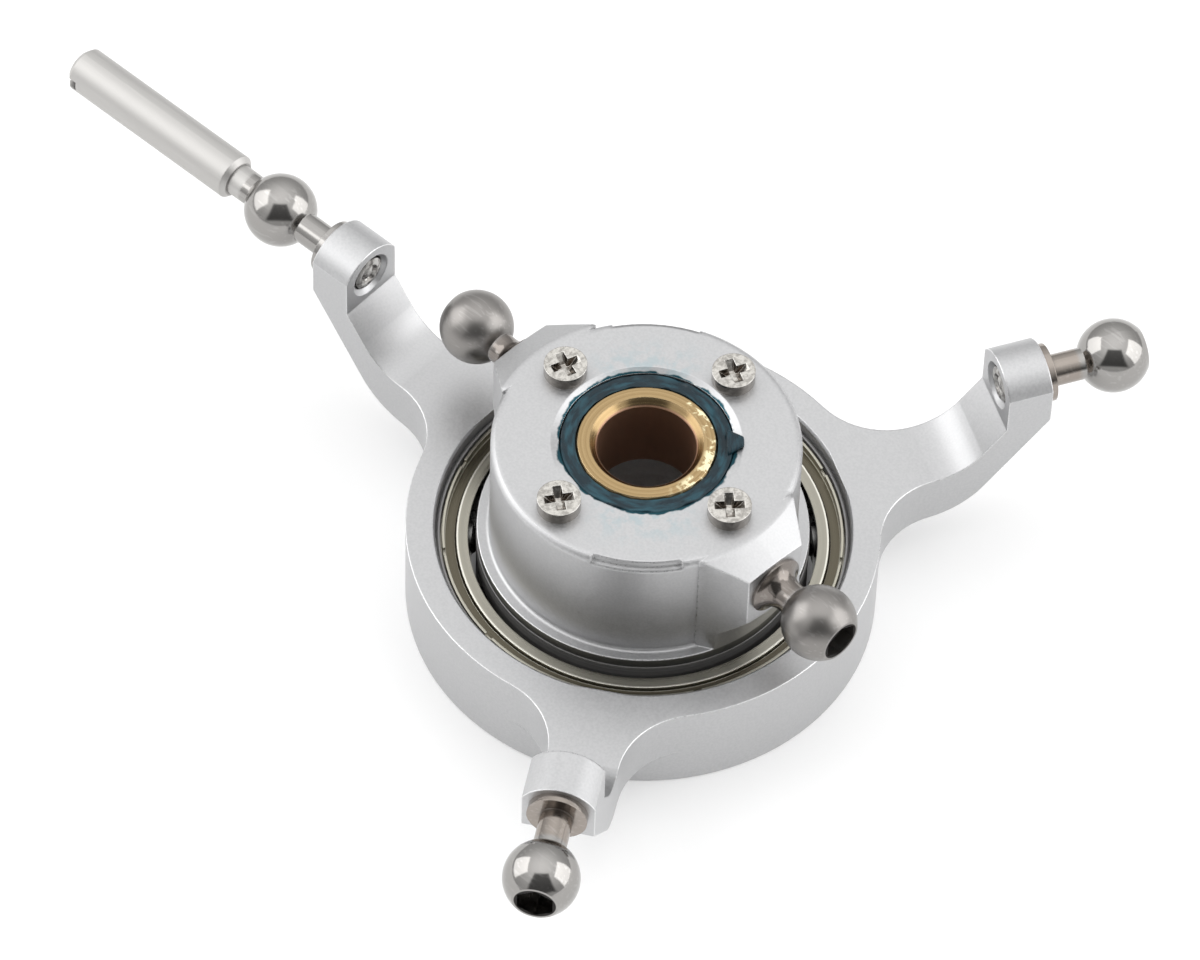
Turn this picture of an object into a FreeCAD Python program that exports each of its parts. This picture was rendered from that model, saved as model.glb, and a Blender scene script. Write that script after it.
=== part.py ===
"""Helicopter swashplate, modelled as a parametric FreeCAD document.

The origin is the centre of the pivot ball, which is also the plane of all five
control balls. +Z runs up the main shaft and the anti-rotation pin points along -X.
Lengths are millimetres and angles are degrees. Names ending in _radius are radii
and names ending in _size are diameters.
"""
import FreeCAD, Part
import math
import os
import re
import Sketcher

SIZES = {
    # Main shaft and the brass pivot ball that slides on it
    "shaft_size": 5.0,
    "shaft_clearance": 0.28,
    "tilt_limit": 12.0,
    "pivot_size": 8.5,
    "pivot_height": 5.0,
    "pivot_chamfer": 0.35,
    # Seats that hold the pivot ball inside the hub
    "seat_play": 0.02,
    "seat_wall": 0.65,
    "seat_split": 0.1,
    "seat_shoulder": 1.1,
    "seat_rim": 1.9,
    "seat_foot": 2.0,
    # Rotating hub
    "hub_top": 2.5,
    "hub_mouth_gap": 0.1,
    "hub_chamfer": 0.2,
    "hub_fillet": 0.2,
    "lip_inset": 0.03,
    "lip_width": 0.63,
    "lip_height": 0.6,
    "boss_length": 1.53,
    "boss_width": 3.58,
    "boss_flare": 33.0,
    "boss_slope": 29.0,
    "slope_start": 0.13,
    "undercut_height": 1.2,
    "undercut_slope": 54.0,
    "relief_depth": 0.3,
    "relief_drop": 0.35,
    "relief_sweep": 34.0,
    "relief_clocking": -47.0,
    "hub_clocking": -5.3,
    "link_count": 2,
    # Screws that clamp the hub to the retainer
    "screw_count": 4,
    "screw_inset": 1.03,
    "screw_size": 1.4,
    "screw_end_gap": 0.2,
    "screw_head_size": 2.2,
    "screw_head_height": 0.7,
    "screw_crown_radius": 1.9,
    "recess_span": 1.35,
    "recess_width": 0.32,
    "recess_depth": 0.36,
    "screw_hole_play": 0.05,
    # Retainer under the hub
    "retainer_inset": 0.08,
    "retainer_flange": 0.7,
    "retainer_mouth_gap": 0.13,
    "retainer_straight": 3.2,
    "clamp_gap": 0.08,
    # Main bearing, 15 x 21 x 4
    "bearing_bore_size": 15.0,
    "bearing_section": 3.0,
    "bearing_width": 4.0,
    "race_wall": 0.93,
    "race_chamfer": 0.12,
    "ball_count": 15,
    "ball_size": 1.588,
    "groove_play": 0.026,
    "step_wall": 0.24,
    "shield_step": 0.75,
    "shield_running_gap": 0.41,
    "shield_sheet": 0.18,
    "shield_inset": 0.3,
    "shield_dish": 0.2,
    "shield_rim": 0.14,
    "shield_rim_inset": 0.06,
    "shield_gap": 0.1,
    "shield_ridge_width": 0.58,
    "shield_ridge_bevel": 0.09,
    "crimp_count": 11,
    "crimp_width": 0.45,
    "cage_gap": 0.23,
    "cage_sheet": 0.16,
    "cage_play": 0.06,
    "cage_joint": 0.01,
    "rivet_size": 0.34,
    "rivet_end": 0.08,
    # Outer plate
    "ring_wall": 1.5,
    "plate_drop": 4.33,
    "bearing_recess": 0.67,
    "plate_floor": 0.8,
    "floor_reach": 0.6,
    "plate_chamfer": 0.12,
    "arm_count": 3,
    "arm_width": 3.63,
    "arm_blend": 4.05,
    "arm_thickness": 3.0,
    "arm_climb": 3.7,
    "arm_curve": 3.2,
    "arm_knee": 3.9,
    "arm_slope": 52.0,
    "tip_length": 2.35,
    "tip_depth": 1.55,
    "crown_top": 1.75,
    "crown_radius": 2.07,
    "countersink": 0.25,
    # Ball studs
    "fixed_play": 0.01,
    "thread_chamfer": 0.2,
    "thread_end_gap": 0.05,
    "servo_circle": 25.0,
    "servo_standoff": 3.95,
    "link_standoff": 3.2,
    "ball_stud_size": 3.8,
    "thread_size": 2.0,
    "neck_size": 1.65,
    "collar_size": 3.0,
    "collar_thickness": 0.42,
    "servo_thread_length": 1.9,
    "link_thread_gap": 0.35,
    "trumpet_size": 3.1,
    "trumpet_rim": 0.15,
    "trumpet_length": 1.0,
    "hex_size": 1.75,
    "hex_margin": 0.14,
    "hex_depth": 1.5,
    # Anti-rotation pin on the third stud
    "pin_size": 2.45,
    "pin_standoff": 3.0,
    "pin_length": 11.2,
    "pin_chamfer": 0.25,
    "pin_neck_size": 1.7,
    "slot_width": 0.6,
    "slot_depth": 0.7,
}

FULL_TURN = 360
HALF_TURN = 180

# Places and sizes that more than one piece shares, worked out from the sizes above
SHARED = {
    # The bearing and what clamps it
    "RACE_TOP": "plate_drop + bearing_recess",
    "RACE_MIDDLE": "RACE_TOP + bearing_width/2",
    "RACE_FOOT": "RACE_TOP + bearing_width",
    "RACE_BORE": "bearing_bore_size/2",
    "RACE_RIM": "RACE_BORE + bearing_section",
    "INNER_SHOULDER": "RACE_BORE + race_wall",
    "OUTER_LAND": "RACE_RIM - race_wall",
    "PITCH": "(RACE_BORE + RACE_RIM)/2",
    "GROOVE": "ball_size/2 + groove_play",
    "HALF_GROOVE": "sqrt(GROOVE^2 - (PITCH - INNER_SHOULDER)^2)",
    "SHIELD_STEP": "RACE_RIM - step_wall",
    "CAGE_INSIDE": "INNER_SHOULDER + cage_gap",
    "CAGE_OUTSIDE": "OUTER_LAND - cage_gap",
    # The pivot ball, its seats and the hub
    "SEAT_BORE": "pivot_size/2 + seat_play",
    "SEAT_OUTSIDE": "SEAT_BORE + seat_wall",
    "HUB_MOUTH": "SEAT_BORE + hub_mouth_gap",
    "LIP_TOP": "RACE_TOP - lip_height",
    "LIP_RADIUS": "INNER_SHOULDER - lip_inset",
    "HUB_RADIUS": "LIP_RADIUS - lip_width",
    "BOSS_REACH": "HUB_RADIUS + boss_length",
    "SCREW_CIRCLE": "SEAT_OUTSIDE + screw_inset",
    "SCREW_TOP": "hub_top + screw_head_height",
    "SCREW_END": "RACE_FOOT + retainer_flange - screw_end_gap",
    "RETAINER_FOOT": "RACE_FOOT + retainer_flange",
    # The plate, its arms and the studs
    "PLATE_RADIUS": "RACE_RIM + ring_wall",
    "PLATE_FOOT": "RACE_FOOT + plate_floor",
    "TIP_OUTER": "servo_circle - servo_standoff",
    "TIP_INNER": "TIP_OUTER - tip_length",
    "THREAD_HOLE": "thread_size/2 + fixed_play",
    "BALL_RADIUS": "ball_stud_size/2",
    "BALL_FLAT": "hex_size/sqrt(3) + hex_margin",
    "PIN_START": "servo_circle + pin_standoff",
    "PIN_END": "PIN_START + pin_length",
}

doc = FreeCAD.newDocument("swashplate")
sheet = doc.addObject("Spreadsheet::Sheet", "sizes")
for row, (name, value) in enumerate(SIZES.items(), start=1):
    sheet.set("A%d" % row, name)
    sheet.set("B%d" % row, str(value))
    sheet.setAlias("B%d" % row, name)
doc.recompute()


def formula(text):
    """Write shared places out in full and point every size at its cell in the sheet."""
    def spell(word):
        if word[0] in SHARED:
            return "(%s)" % formula(SHARED[word[0]])
        return "sizes." + word[0] if word[0] in SIZES else word[0]
    return re.sub(r"[A-Za-z_]+", spell, text)


def number(text):
    """What a formula comes to with the sheet as it stands."""
    result = sheet.evalExpression(formula(text))
    return float(getattr(result, "Value", result))


def new_piece(name):
    """Start the body of one piece."""
    body = doc.addObject("PartDesign::Body", name)
    body.Label = name
    return body


def datum(body, role):
    """One of the body's own origin planes or axes."""
    return next(item for item in body.Origin.OriginFeatures if item.Role == role)


def new_sketch(body, name, plane, lift="0"):
    """Start a sketch on one of the body's origin planes, lifted along its normal."""
    sketch = body.newObject("Sketcher::SketchObject", name)
    sketch.AttachmentSupport = [(datum(body, plane), "")]
    sketch.MapMode = "FlatFace"
    sketch.setExpression(".AttachmentOffset.Base.z", formula(lift))
    return sketch


def pin_down(sketch, kind, text, *where):
    """Add a dimension and bind it to a formula."""
    index = sketch.addConstraint(Sketcher.Constraint(kind, *where, number(text)))
    sketch.setExpression("Constraints[%d]" % index, formula(text))


def outline(body, name, plane, corners, lift="0"):
    """Sketch a closed outline through corners.

    A corner is (x, y), or (x, y, bend) where bend is the radius of an arc that runs
    from it to the next corner: positive turns left, negative turns right.
    """
    sketch = new_sketch(body, name, plane, lift)
    spots = [FreeCAD.Vector(number(corner[0]), number(corner[1]), 0) for corner in corners]
    joints = []
    for index, corner in enumerate(corners):
        here = spots[index]
        there = spots[(index + 1) % len(spots)]
        if len(corner) == 2:
            edge = sketch.addGeometry(Part.LineSegment(here, there))
            joints.append((edge, 1, 2))
            continue
        bend = number(corner[2])
        chord = there - here
        left = FreeCAD.Vector(-chord.y, chord.x, 0).normalize()
        reach = math.sqrt(max(bend ** 2 - (chord.Length / 2) ** 2, 0))
        centre = (here + there) / 2 + left * math.copysign(reach, bend)
        first, last = (here, there) if bend > 0 else (there, here)
        start = math.atan2(first.y - centre.y, first.x - centre.x)
        end = math.atan2(last.y - centre.y, last.x - centre.x)
        circle = Part.Circle(centre, FreeCAD.Vector(0, 0, 1), abs(bend))
        edge = sketch.addGeometry(Part.ArcOfCircle(circle, start, end))
        joints.append((edge, 1, 2) if bend > 0 else (edge, 2, 1))
    for index, (edge, start, end) in enumerate(joints):
        next_edge, next_start, _ = joints[(index + 1) % len(joints)]
        sketch.addConstraint(Sketcher.Constraint("Coincident", edge, end, next_edge, next_start))
        pin_down(sketch, "DistanceX", corners[index][0], -1, 1, edge, start)
        pin_down(sketch, "DistanceY", corners[index][1], -1, 1, edge, start)
        if len(corners[index]) == 3:
            pin_down(sketch, "Radius", corners[index][2].lstrip("-"), edge)
    return sketch


def disc(body, name, plane, across, radius, along="0", lift="0"):
    """Sketch a circle."""
    sketch = new_sketch(body, name, plane, lift)
    centre = FreeCAD.Vector(number(across), number(along), 0)
    edge = sketch.addGeometry(Part.Circle(centre, FreeCAD.Vector(0, 0, 1), number(radius)))
    pin_down(sketch, "DistanceX", across, -1, 1, edge, 3)
    pin_down(sketch, "DistanceY", along, -1, 1, edge, 3)
    pin_down(sketch, "Radius", radius, edge)
    return sketch


def turn(body, name, corners, cut=False, axis="Z_Axis"):
    """Revolve a half section, drawn on the XZ plane, about an axis of the body."""
    sketch = outline(body, name + "_section", "XZ_Plane", corners)
    feature = body.newObject("PartDesign::Groove" if cut else "PartDesign::Revolution", name)
    feature.Profile = sketch
    feature.ReferenceAxis = (datum(body, axis), [""])
    feature.Angle = FULL_TURN
    return feature


def pad(body, name, sketch, height, symmetric=False):
    """Pad a sketch along its normal."""
    feature = body.newObject("PartDesign::Pad", name)
    feature.Profile = sketch
    feature.SideType = "Symmetric" if symmetric else "One side"
    feature.setExpression("Length", formula(height))
    return feature


def pocket(body, name, sketch, depth, symmetric=False, reversed_cut=False):
    """Cut a sketch away; an ordinary cut runs against the sketch's normal."""
    feature = body.newObject("PartDesign::Pocket", name)
    feature.Profile = sketch
    feature.SideType = "Symmetric" if symmetric else "One side"
    feature.Reversed = reversed_cut
    feature.setExpression("Length", formula(depth))
    return feature


def around(body, name, features, count):
    """Repeat features evenly round the body's Z axis."""
    pattern = body.newObject("PartDesign::PolarPattern", name)
    pattern.Originals = features
    pattern.Axis = (datum(body, "Z_Axis"), [""])
    pattern.Angle = FULL_TURN
    pattern.setExpression("Occurrences", formula(count))
    body.Tip = pattern
    return pattern


def clock(body, angle):
    """Turn a finished piece about the shaft axis."""
    body.Placement.Rotation = FreeCAD.Rotation(FreeCAD.Vector(0, 0, 1), number(angle))
    body.setExpression(".Placement.Rotation.Angle", formula(angle))


def make_outer_plate():
    """Bearing ring with three arms that rise to the ball plane."""
    body = new_piece("outer_plate")
    turn(body, "ring", [
        ("RACE_RIM", "-RACE_FOOT"),
        ("RACE_RIM - floor_reach", "-RACE_FOOT"),
        ("RACE_RIM - floor_reach", "-PLATE_FOOT"),
        ("PLATE_RADIUS - plate_chamfer", "-PLATE_FOOT"),
        ("PLATE_RADIUS", "-PLATE_FOOT + plate_chamfer"),
        ("PLATE_RADIUS", "-plate_drop"),
        ("RACE_RIM + plate_chamfer", "-plate_drop"),
        ("RACE_RIM", "-plate_drop - plate_chamfer"),
    ])
    # One arm in plan: blends that leave the ring's wall at a tangent, then parallel sides.
    blend_y = "(arm_width/2 + arm_blend)"
    blend_x = "sqrt((PLATE_RADIUS + arm_blend)^2 - %s^2)" % blend_y
    touch_x = "PLATE_RADIUS/(PLATE_RADIUS + arm_blend)*" + blend_x
    touch_y = "PLATE_RADIUS/(PLATE_RADIUS + arm_blend)*" + blend_y
    plan = outline(body, "arm_plan", "XY_Plane", [
        ("-RACE_RIM", touch_y),
        ("-RACE_RIM", "-" + touch_y),
        ("-" + touch_x, "-" + touch_y, "arm_blend"),
        ("-" + blend_x, "-arm_width/2"),
        ("-TIP_OUTER", "-arm_width/2"),
        ("-TIP_OUTER", "arm_width/2"),
        ("-" + blend_x, "arm_width/2", "arm_blend"),
        ("-" + touch_x, touch_y),
    ], lift="-(plate_drop + arm_thickness)")
    blank = pad(body, "arm_blank", plan, "plate_drop + arm_thickness + crown_top")
    # Upper side: level with the ring, then a concave curve into a straight climb.
    flat_x = "(TIP_INNER - arm_climb)"
    climb_x = "(%s + arm_curve*sin(arm_slope))" % flat_x
    climb_z = "(-plate_drop + arm_curve*(1 - cos(arm_slope)))"
    above = outline(body, "arm_upper_side", "XZ_Plane", [
        ("-TIP_INNER", "%s + (TIP_INNER - %s)*tan(arm_slope)" % (climb_z, climb_x)),
        ("-TIP_INNER", "crown_top + arm_width"),
        ("-RACE_RIM + arm_width", "crown_top + arm_width"),
        ("-RACE_RIM + arm_width", "-plate_drop"),
        ("-" + flat_x, "-plate_drop", "-arm_curve"),
        ("-" + climb_x, climb_z),
    ])
    upper = pocket(body, "arm_upper_cut", above, "2*PLATE_RADIUS", symmetric=True)
    # Lower side: the same climb, rounded into a level root.
    knee_z = "(-(plate_drop + arm_thickness) + arm_knee*(1 - cos(arm_slope)))"
    knee_x = "(TIP_OUTER - (-tip_depth - %s)/tan(arm_slope))" % knee_z
    root_x = "(%s - arm_knee*sin(arm_slope))" % knee_x
    below = outline(body, "arm_lower_side", "XZ_Plane", [
        ("-TIP_OUTER - arm_width", "-tip_depth"),
        ("-TIP_OUTER", "-tip_depth"),
        ("-" + knee_x, knee_z, "arm_knee"),
        ("-" + root_x, "-(plate_drop + arm_thickness)"),
        ("-" + root_x, "-(plate_drop + 2*arm_thickness)"),
        ("-TIP_OUTER - arm_width", "-(plate_drop + 2*arm_thickness)"),
    ])
    lower = pocket(body, "arm_lower_cut", below, "2*PLATE_RADIUS", symmetric=True)
    # Crown of the tip, over the stud.
    side_z = "(crown_top - crown_radius + sqrt(crown_radius^2 - (arm_width/2)^2))"
    crown = outline(body, "arm_crown_profile", "YZ_Plane", [
        ("arm_width/2", side_z, "crown_radius"),
        ("-arm_width/2", side_z),
        ("-arm_width", side_z),
        ("-arm_width", "crown_top + arm_width"),
        ("arm_width", "crown_top + arm_width"),
        ("arm_width", side_z),
    ], lift="-TIP_OUTER")
    rounding = pocket(body, "arm_crown_cut", crown, "tip_length + arm_width", reversed_cut=True)
    hole = disc(body, "stud_hole_circle", "YZ_Plane", "0", "THREAD_HOLE", lift="-TIP_OUTER")
    drilling = pocket(body, "stud_hole", hole, "tip_length + arm_width", reversed_cut=True)
    sink = turn(body, "stud_countersink", [
        ("-(TIP_INNER - thread_size)", "0"),
        ("-(TIP_INNER - thread_size)", "thread_size/2 + countersink"),
        ("-TIP_INNER", "thread_size/2 + countersink"),
        ("-(TIP_INNER + countersink)", "thread_size/2"),
        ("-(TIP_INNER + countersink)", "0"),
    ], cut=True, axis="X_Axis")
    around(body, "arms", [blank, upper, lower, rounding, drilling, sink], "arm_count")
    return body


def make_hub():
    """Rotating upper half, with two bosses for the rotor links."""
    body = new_piece("rotating_hub")
    turn(body, "barrel", [
        ("HUB_MOUTH", "hub_top"),
        ("HUB_MOUTH", "seat_shoulder"),
        ("SEAT_OUTSIDE + fixed_play", "seat_shoulder"),
        ("SEAT_OUTSIDE + fixed_play", "-(RACE_MIDDLE - clamp_gap)"),
        ("RACE_BORE - fixed_play", "-(RACE_MIDDLE - clamp_gap)"),
        ("RACE_BORE - fixed_play", "-RACE_TOP"),
        ("LIP_RADIUS", "-RACE_TOP"),
        ("LIP_RADIUS", "-LIP_TOP"),
        ("HUB_RADIUS + hub_fillet", "-LIP_TOP", "-hub_fillet"),
        ("HUB_RADIUS", "-LIP_TOP + hub_fillet"),
        ("HUB_RADIUS", "hub_top - hub_chamfer"),
        ("HUB_RADIUS - hub_chamfer", "hub_top"),
    ])
    # The top edge steps back over a short sweep beside each boss.
    relief = turn(body, "relief", [
        ("HUB_RADIUS - relief_depth", "hub_top"),
        ("HUB_RADIUS - relief_depth", "hub_top - relief_drop"),
        ("BOSS_REACH", "hub_top - relief_drop"),
        ("BOSS_REACH", "hub_top"),
    ], cut=True)
    relief.Midplane = True
    relief.setExpression("Angle", formula("relief_sweep"))
    section = relief.Profile[0]
    section.AttachmentOffset.Rotation = FreeCAD.Rotation(FreeCAD.Vector(0, 1, 0), number("relief_clocking"))
    section.setExpression(".AttachmentOffset.Rotation.Angle", formula("relief_clocking"))
    around(body, "reliefs", [relief], "link_count")
    # Bosses in plan: flanks that narrow from the barrel to the stud's seat.
    root_x = "(HUB_RADIUS - lip_width)"
    root_y = "(boss_width/2 + (BOSS_REACH - %s)*tan(boss_flare))" % root_x
    plan = outline(body, "boss_plan", "XY_Plane", [
        (root_x, "-" + root_y),
        ("BOSS_REACH", "-boss_width/2"),
        ("BOSS_REACH", "boss_width/2"),
        (root_x, root_y),
    ], lift="-LIP_TOP")
    boss = pad(body, "boss", plan, "hub_top + LIP_TOP")
    hole = disc(body, "stud_hole_circle", "YZ_Plane", "0", "THREAD_HOLE", lift="BOSS_REACH")
    drilling = pocket(body, "stud_hole", hole,
                      "BOSS_REACH - (SCREW_CIRCLE + screw_size/2 + link_thread_gap) + thread_end_gap")
    around(body, "bosses", [boss, drilling], "link_count")
    # Both bosses lose their top outer edge to one cone and their foot to another.
    start = "(HUB_RADIUS + slope_start)"
    beyond = "(BOSS_REACH + boss_width)"
    turn(body, "boss_slope", [
        (start, "hub_top"),
        (beyond, "hub_top - (%s - %s)*tan(boss_slope)" % (beyond, start)),
        (beyond, "hub_top + boss_width"),
        (start, "hub_top + boss_width"),
    ], cut=True)
    foot = "(-LIP_TOP + undercut_height)"
    turn(body, "boss_undercut", [
        ("LIP_RADIUS", foot),
        ("LIP_RADIUS", "-RACE_FOOT"),
        (beyond, "-RACE_FOOT"),
        (beyond, "%s + (%s - LIP_RADIUS)*tan(undercut_slope)" % (foot, beyond)),
    ], cut=True)
    hole = disc(body, "screw_hole_circle", "XY_Plane", "SCREW_CIRCLE",
                "screw_size/2 + screw_hole_play", lift="hub_top")
    drilling = pocket(body, "screw_hole", hole, "hub_top + RACE_FOOT")
    around(body, "screw_holes", [drilling], "screw_count")
    clock(body, "hub_clocking")
    return body


def make_retainer():
    """Clamp ring under the bearing, whose neck holds up the lower seat.

    Its mouth opens downwards, so that the shaft stays clear at the limit of tilt.
    """
    body = new_piece("lower_retainer")
    mouth = "sqrt(SEAT_BORE^2 - seat_foot^2) + retainer_mouth_gap"
    flare = "RETAINER_FOOT*tan(tilt_limit) + shaft_size/2/cos(tilt_limit) + shaft_clearance"
    turn(body, "ring", [
        (mouth, "-seat_foot"),
        (mouth, "-(seat_foot + retainer_straight)"),
        (flare, "-RETAINER_FOOT"),
        ("INNER_SHOULDER - retainer_inset", "-RETAINER_FOOT"),
        ("INNER_SHOULDER - retainer_inset", "-RACE_FOOT"),
        ("RACE_BORE - fixed_play", "-RACE_FOOT"),
        ("RACE_BORE - fixed_play", "-(RACE_MIDDLE + clamp_gap)"),
        ("SEAT_OUTSIDE", "-(RACE_MIDDLE + clamp_gap)"),
        ("SEAT_OUTSIDE", "-seat_foot"),
    ])
    hole = disc(body, "thread_circle", "XY_Plane", "SCREW_CIRCLE", "screw_size/2 + fixed_play",
                lift="-(RACE_MIDDLE + clamp_gap)")
    drilling = pocket(body, "threaded_hole", hole, "bearing_width + retainer_flange")
    around(body, "threaded_holes", [drilling], "screw_count")
    clock(body, "hub_clocking")
    return body


def make_seats():
    """Plastic rings above and below the pivot ball's middle."""
    split = "sqrt(SEAT_BORE^2 - (seat_split/2)^2)"
    upper = new_piece("upper_ball_seat")
    turn(upper, "ring", [
        (split, "seat_split/2"),
        ("SEAT_OUTSIDE", "seat_split/2"),
        ("SEAT_OUTSIDE", "seat_shoulder"),
        ("HUB_MOUTH - fixed_play", "seat_shoulder"),
        ("HUB_MOUTH - fixed_play", "seat_rim"),
        ("sqrt(SEAT_BORE^2 - seat_rim^2)", "seat_rim", "-SEAT_BORE"),
    ])
    lower = new_piece("lower_ball_seat")
    turn(lower, "ring", [
        (split, "-seat_split/2", "-SEAT_BORE"),
        ("sqrt(SEAT_BORE^2 - seat_foot^2)", "-seat_foot"),
        ("SEAT_OUTSIDE", "-seat_foot"),
        ("SEAT_OUTSIDE", "-seat_split/2"),
    ])
    return [upper, lower]


def make_pivot_ball():
    """Brass ball with flats, bored to slide on the main shaft."""
    body = new_piece("pivot_ball")
    flat = "sqrt((pivot_size/2)^2 - (pivot_height/2)^2)"
    turn(body, "ball", [
        (flat, "-pivot_height/2", "pivot_size/2"),
        (flat, "pivot_height/2"),
        ("shaft_size/2 + pivot_chamfer", "pivot_height/2"),
        ("shaft_size/2", "pivot_height/2 - pivot_chamfer"),
        ("shaft_size/2", "-(pivot_height/2 - pivot_chamfer)"),
        ("shaft_size/2 + pivot_chamfer", "-pivot_height/2"),
    ])
    return body


def make_hub_screws():
    """Pan-head cross-recess screws, all in one piece file."""
    body = new_piece("hub_screws")
    crown = "screw_crown_radius"
    shoulder = "SCREW_TOP - screw_crown_radius + sqrt(screw_crown_radius^2 - (screw_head_size/2)^2)"
    half = outline(body, "screw_section", "XZ_Plane", [
        ("SCREW_CIRCLE", "-SCREW_END"),
        ("SCREW_CIRCLE + screw_size/2 - thread_chamfer", "-SCREW_END"),
        ("SCREW_CIRCLE + screw_size/2", "-SCREW_END + thread_chamfer"),
        ("SCREW_CIRCLE + screw_size/2", "hub_top"),
        ("SCREW_CIRCLE + screw_head_size/2", "hub_top"),
        ("SCREW_CIRCLE + screw_head_size/2", shoulder, crown),
        ("SCREW_CIRCLE", "SCREW_TOP"),
    ])
    middle = new_sketch(body, "screw_axis", "XZ_Plane")
    foot = FreeCAD.Vector(number("SCREW_CIRCLE"), 0, 0)
    line = middle.addGeometry(Part.LineSegment(foot, foot + FreeCAD.Vector(0, 1, 0)))
    middle.addConstraint(Sketcher.Constraint("Vertical", line))
    pin_down(middle, "DistanceX", "SCREW_CIRCLE", -1, 1, line, 1)
    screw = body.newObject("PartDesign::Revolution", "screw")
    screw.Profile = half
    screw.ReferenceAxis = (middle, ["Edge1"])
    screw.Angle = FULL_TURN
    # The cross recess: twelve corners, from the upper arm round to the left.
    long, short = "recess_span/2", "recess_width/2"
    corners = [(short, short), (short, long), ("-" + short, long), ("-" + short, short)]
    corners += [("-" + long, short), ("-" + long, "-" + short), ("-" + short, "-" + short)]
    corners += [("-" + short, "-" + long), (short, "-" + long), (short, "-" + short)]
    corners += [(long, "-" + short), (long, short)]
    recess = outline(body, "recess_cross", "XY_Plane", [
        ("SCREW_CIRCLE + " + across, along) for across, along in corners
    ], lift="SCREW_TOP")
    cross = pocket(body, "recess", recess, "recess_depth")
    around(body, "screws", [screw, cross], "screw_count")
    clock(body, "hub_clocking")
    return body


def make_races():
    """Inner and outer rings of the main bearing."""
    inner = new_piece("bearing_inner_race")
    turn(inner, "ring", [
        ("RACE_BORE", "-RACE_FOOT"),
        ("INNER_SHOULDER", "-RACE_FOOT"),
        ("INNER_SHOULDER", "-RACE_MIDDLE - HALF_GROOVE", "-GROOVE"),
        ("INNER_SHOULDER", "-RACE_MIDDLE + HALF_GROOVE"),
        ("INNER_SHOULDER", "-RACE_TOP"),
        ("RACE_BORE", "-RACE_TOP"),
    ])
    outer = new_piece("bearing_outer_race")
    turn(outer, "ring", [
        ("RACE_RIM - fixed_play", "-RACE_FOOT"),
        ("RACE_RIM - fixed_play", "-RACE_TOP - race_chamfer"),
        ("RACE_RIM - fixed_play - race_chamfer", "-RACE_TOP"),
        ("SHIELD_STEP", "-RACE_TOP"),
        ("SHIELD_STEP", "-(RACE_TOP + shield_step)"),
        ("OUTER_LAND", "-(RACE_TOP + shield_step)"),
        ("OUTER_LAND", "-RACE_MIDDLE + HALF_GROOVE", "-GROOVE"),
        ("OUTER_LAND", "-RACE_MIDDLE - HALF_GROOVE"),
        ("OUTER_LAND", "-(RACE_FOOT - shield_step)"),
        ("SHIELD_STEP", "-(RACE_FOOT - shield_step)"),
        ("SHIELD_STEP", "-RACE_FOOT"),
    ])
    return [inner, outer]


def make_bearing_balls():
    """The ring of balls, all in one piece file."""
    body = new_piece("bearing_balls")
    ball = body.newObject("PartDesign::AdditiveSphere", "ball")
    ball.setExpression("Radius", formula("ball_size/2"))
    ball.setExpression(".Placement.Base.x", formula("PITCH"))
    around(body, "balls", [ball], "ball_count")
    body.setExpression(".Placement.Base.z", formula("-RACE_MIDDLE"))
    return body


def lay_in_bearing(body, upside_down):
    """Put a piece that is drawn about the bearing's middle in its place there."""
    flip = FreeCAD.Rotation(FreeCAD.Vector(1, 0, 0), HALF_TURN if upside_down else 0)
    body.Placement = FreeCAD.Placement(FreeCAD.Vector(0, 0, 0), flip)
    body.setExpression(".Placement.Base.z", formula("-RACE_MIDDLE"))


def make_shield(name, upside_down):
    """Dished sheet-steel shield, crimped into the outer race at its rim."""
    body = new_piece(name)
    face = "(bearing_width/2 - shield_inset)"
    seat = "(bearing_width/2 - shield_step)"
    rim = "(SHIELD_STEP - shield_gap)"
    rim_top = "(bearing_width/2 - shield_rim_inset)"
    bore = "(INNER_SHOULDER + shield_running_gap)"
    ridge = "(%s + shield_ridge_width)" % bore
    turn(body, "sheet", [
        ("SHIELD_STEP - fixed_play", seat),
        ("SHIELD_STEP - fixed_play", seat + " + shield_sheet"),
        (rim, seat + " + shield_sheet"),
        (rim, rim_top),
        (rim + " - shield_rim", rim_top),
        (rim + " - shield_rim", face + " - shield_dish"),
        (ridge + " + shield_ridge_bevel", face + " - shield_dish"),
        (ridge, face),
        (bore, face),
        (bore, face + " - shield_sheet"),
        (ridge + " - shield_ridge_bevel", face + " - shield_sheet"),
        (ridge, seat),
    ])
    slot = outline(body, "crimp_outline", "XY_Plane", [
        (rim + " - shield_rim - fixed_play", "-crimp_width/2"),
        ("RACE_RIM", "-crimp_width/2"),
        ("RACE_RIM", "crimp_width/2"),
        (rim + " - shield_rim - fixed_play", "crimp_width/2"),
    ], lift=rim_top)
    crimp = pocket(body, "crimp", slot, "shield_dish")
    around(body, "crimps", [crimp], "crimp_count")
    lay_in_bearing(body, upside_down)
    return body


def rivet_spot():
    """Where a rivet stands, halfway between two balls."""
    return "PITCH*cos(%d/ball_count)" % HALF_TURN, "PITCH*sin(%d/ball_count)" % HALF_TURN


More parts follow.
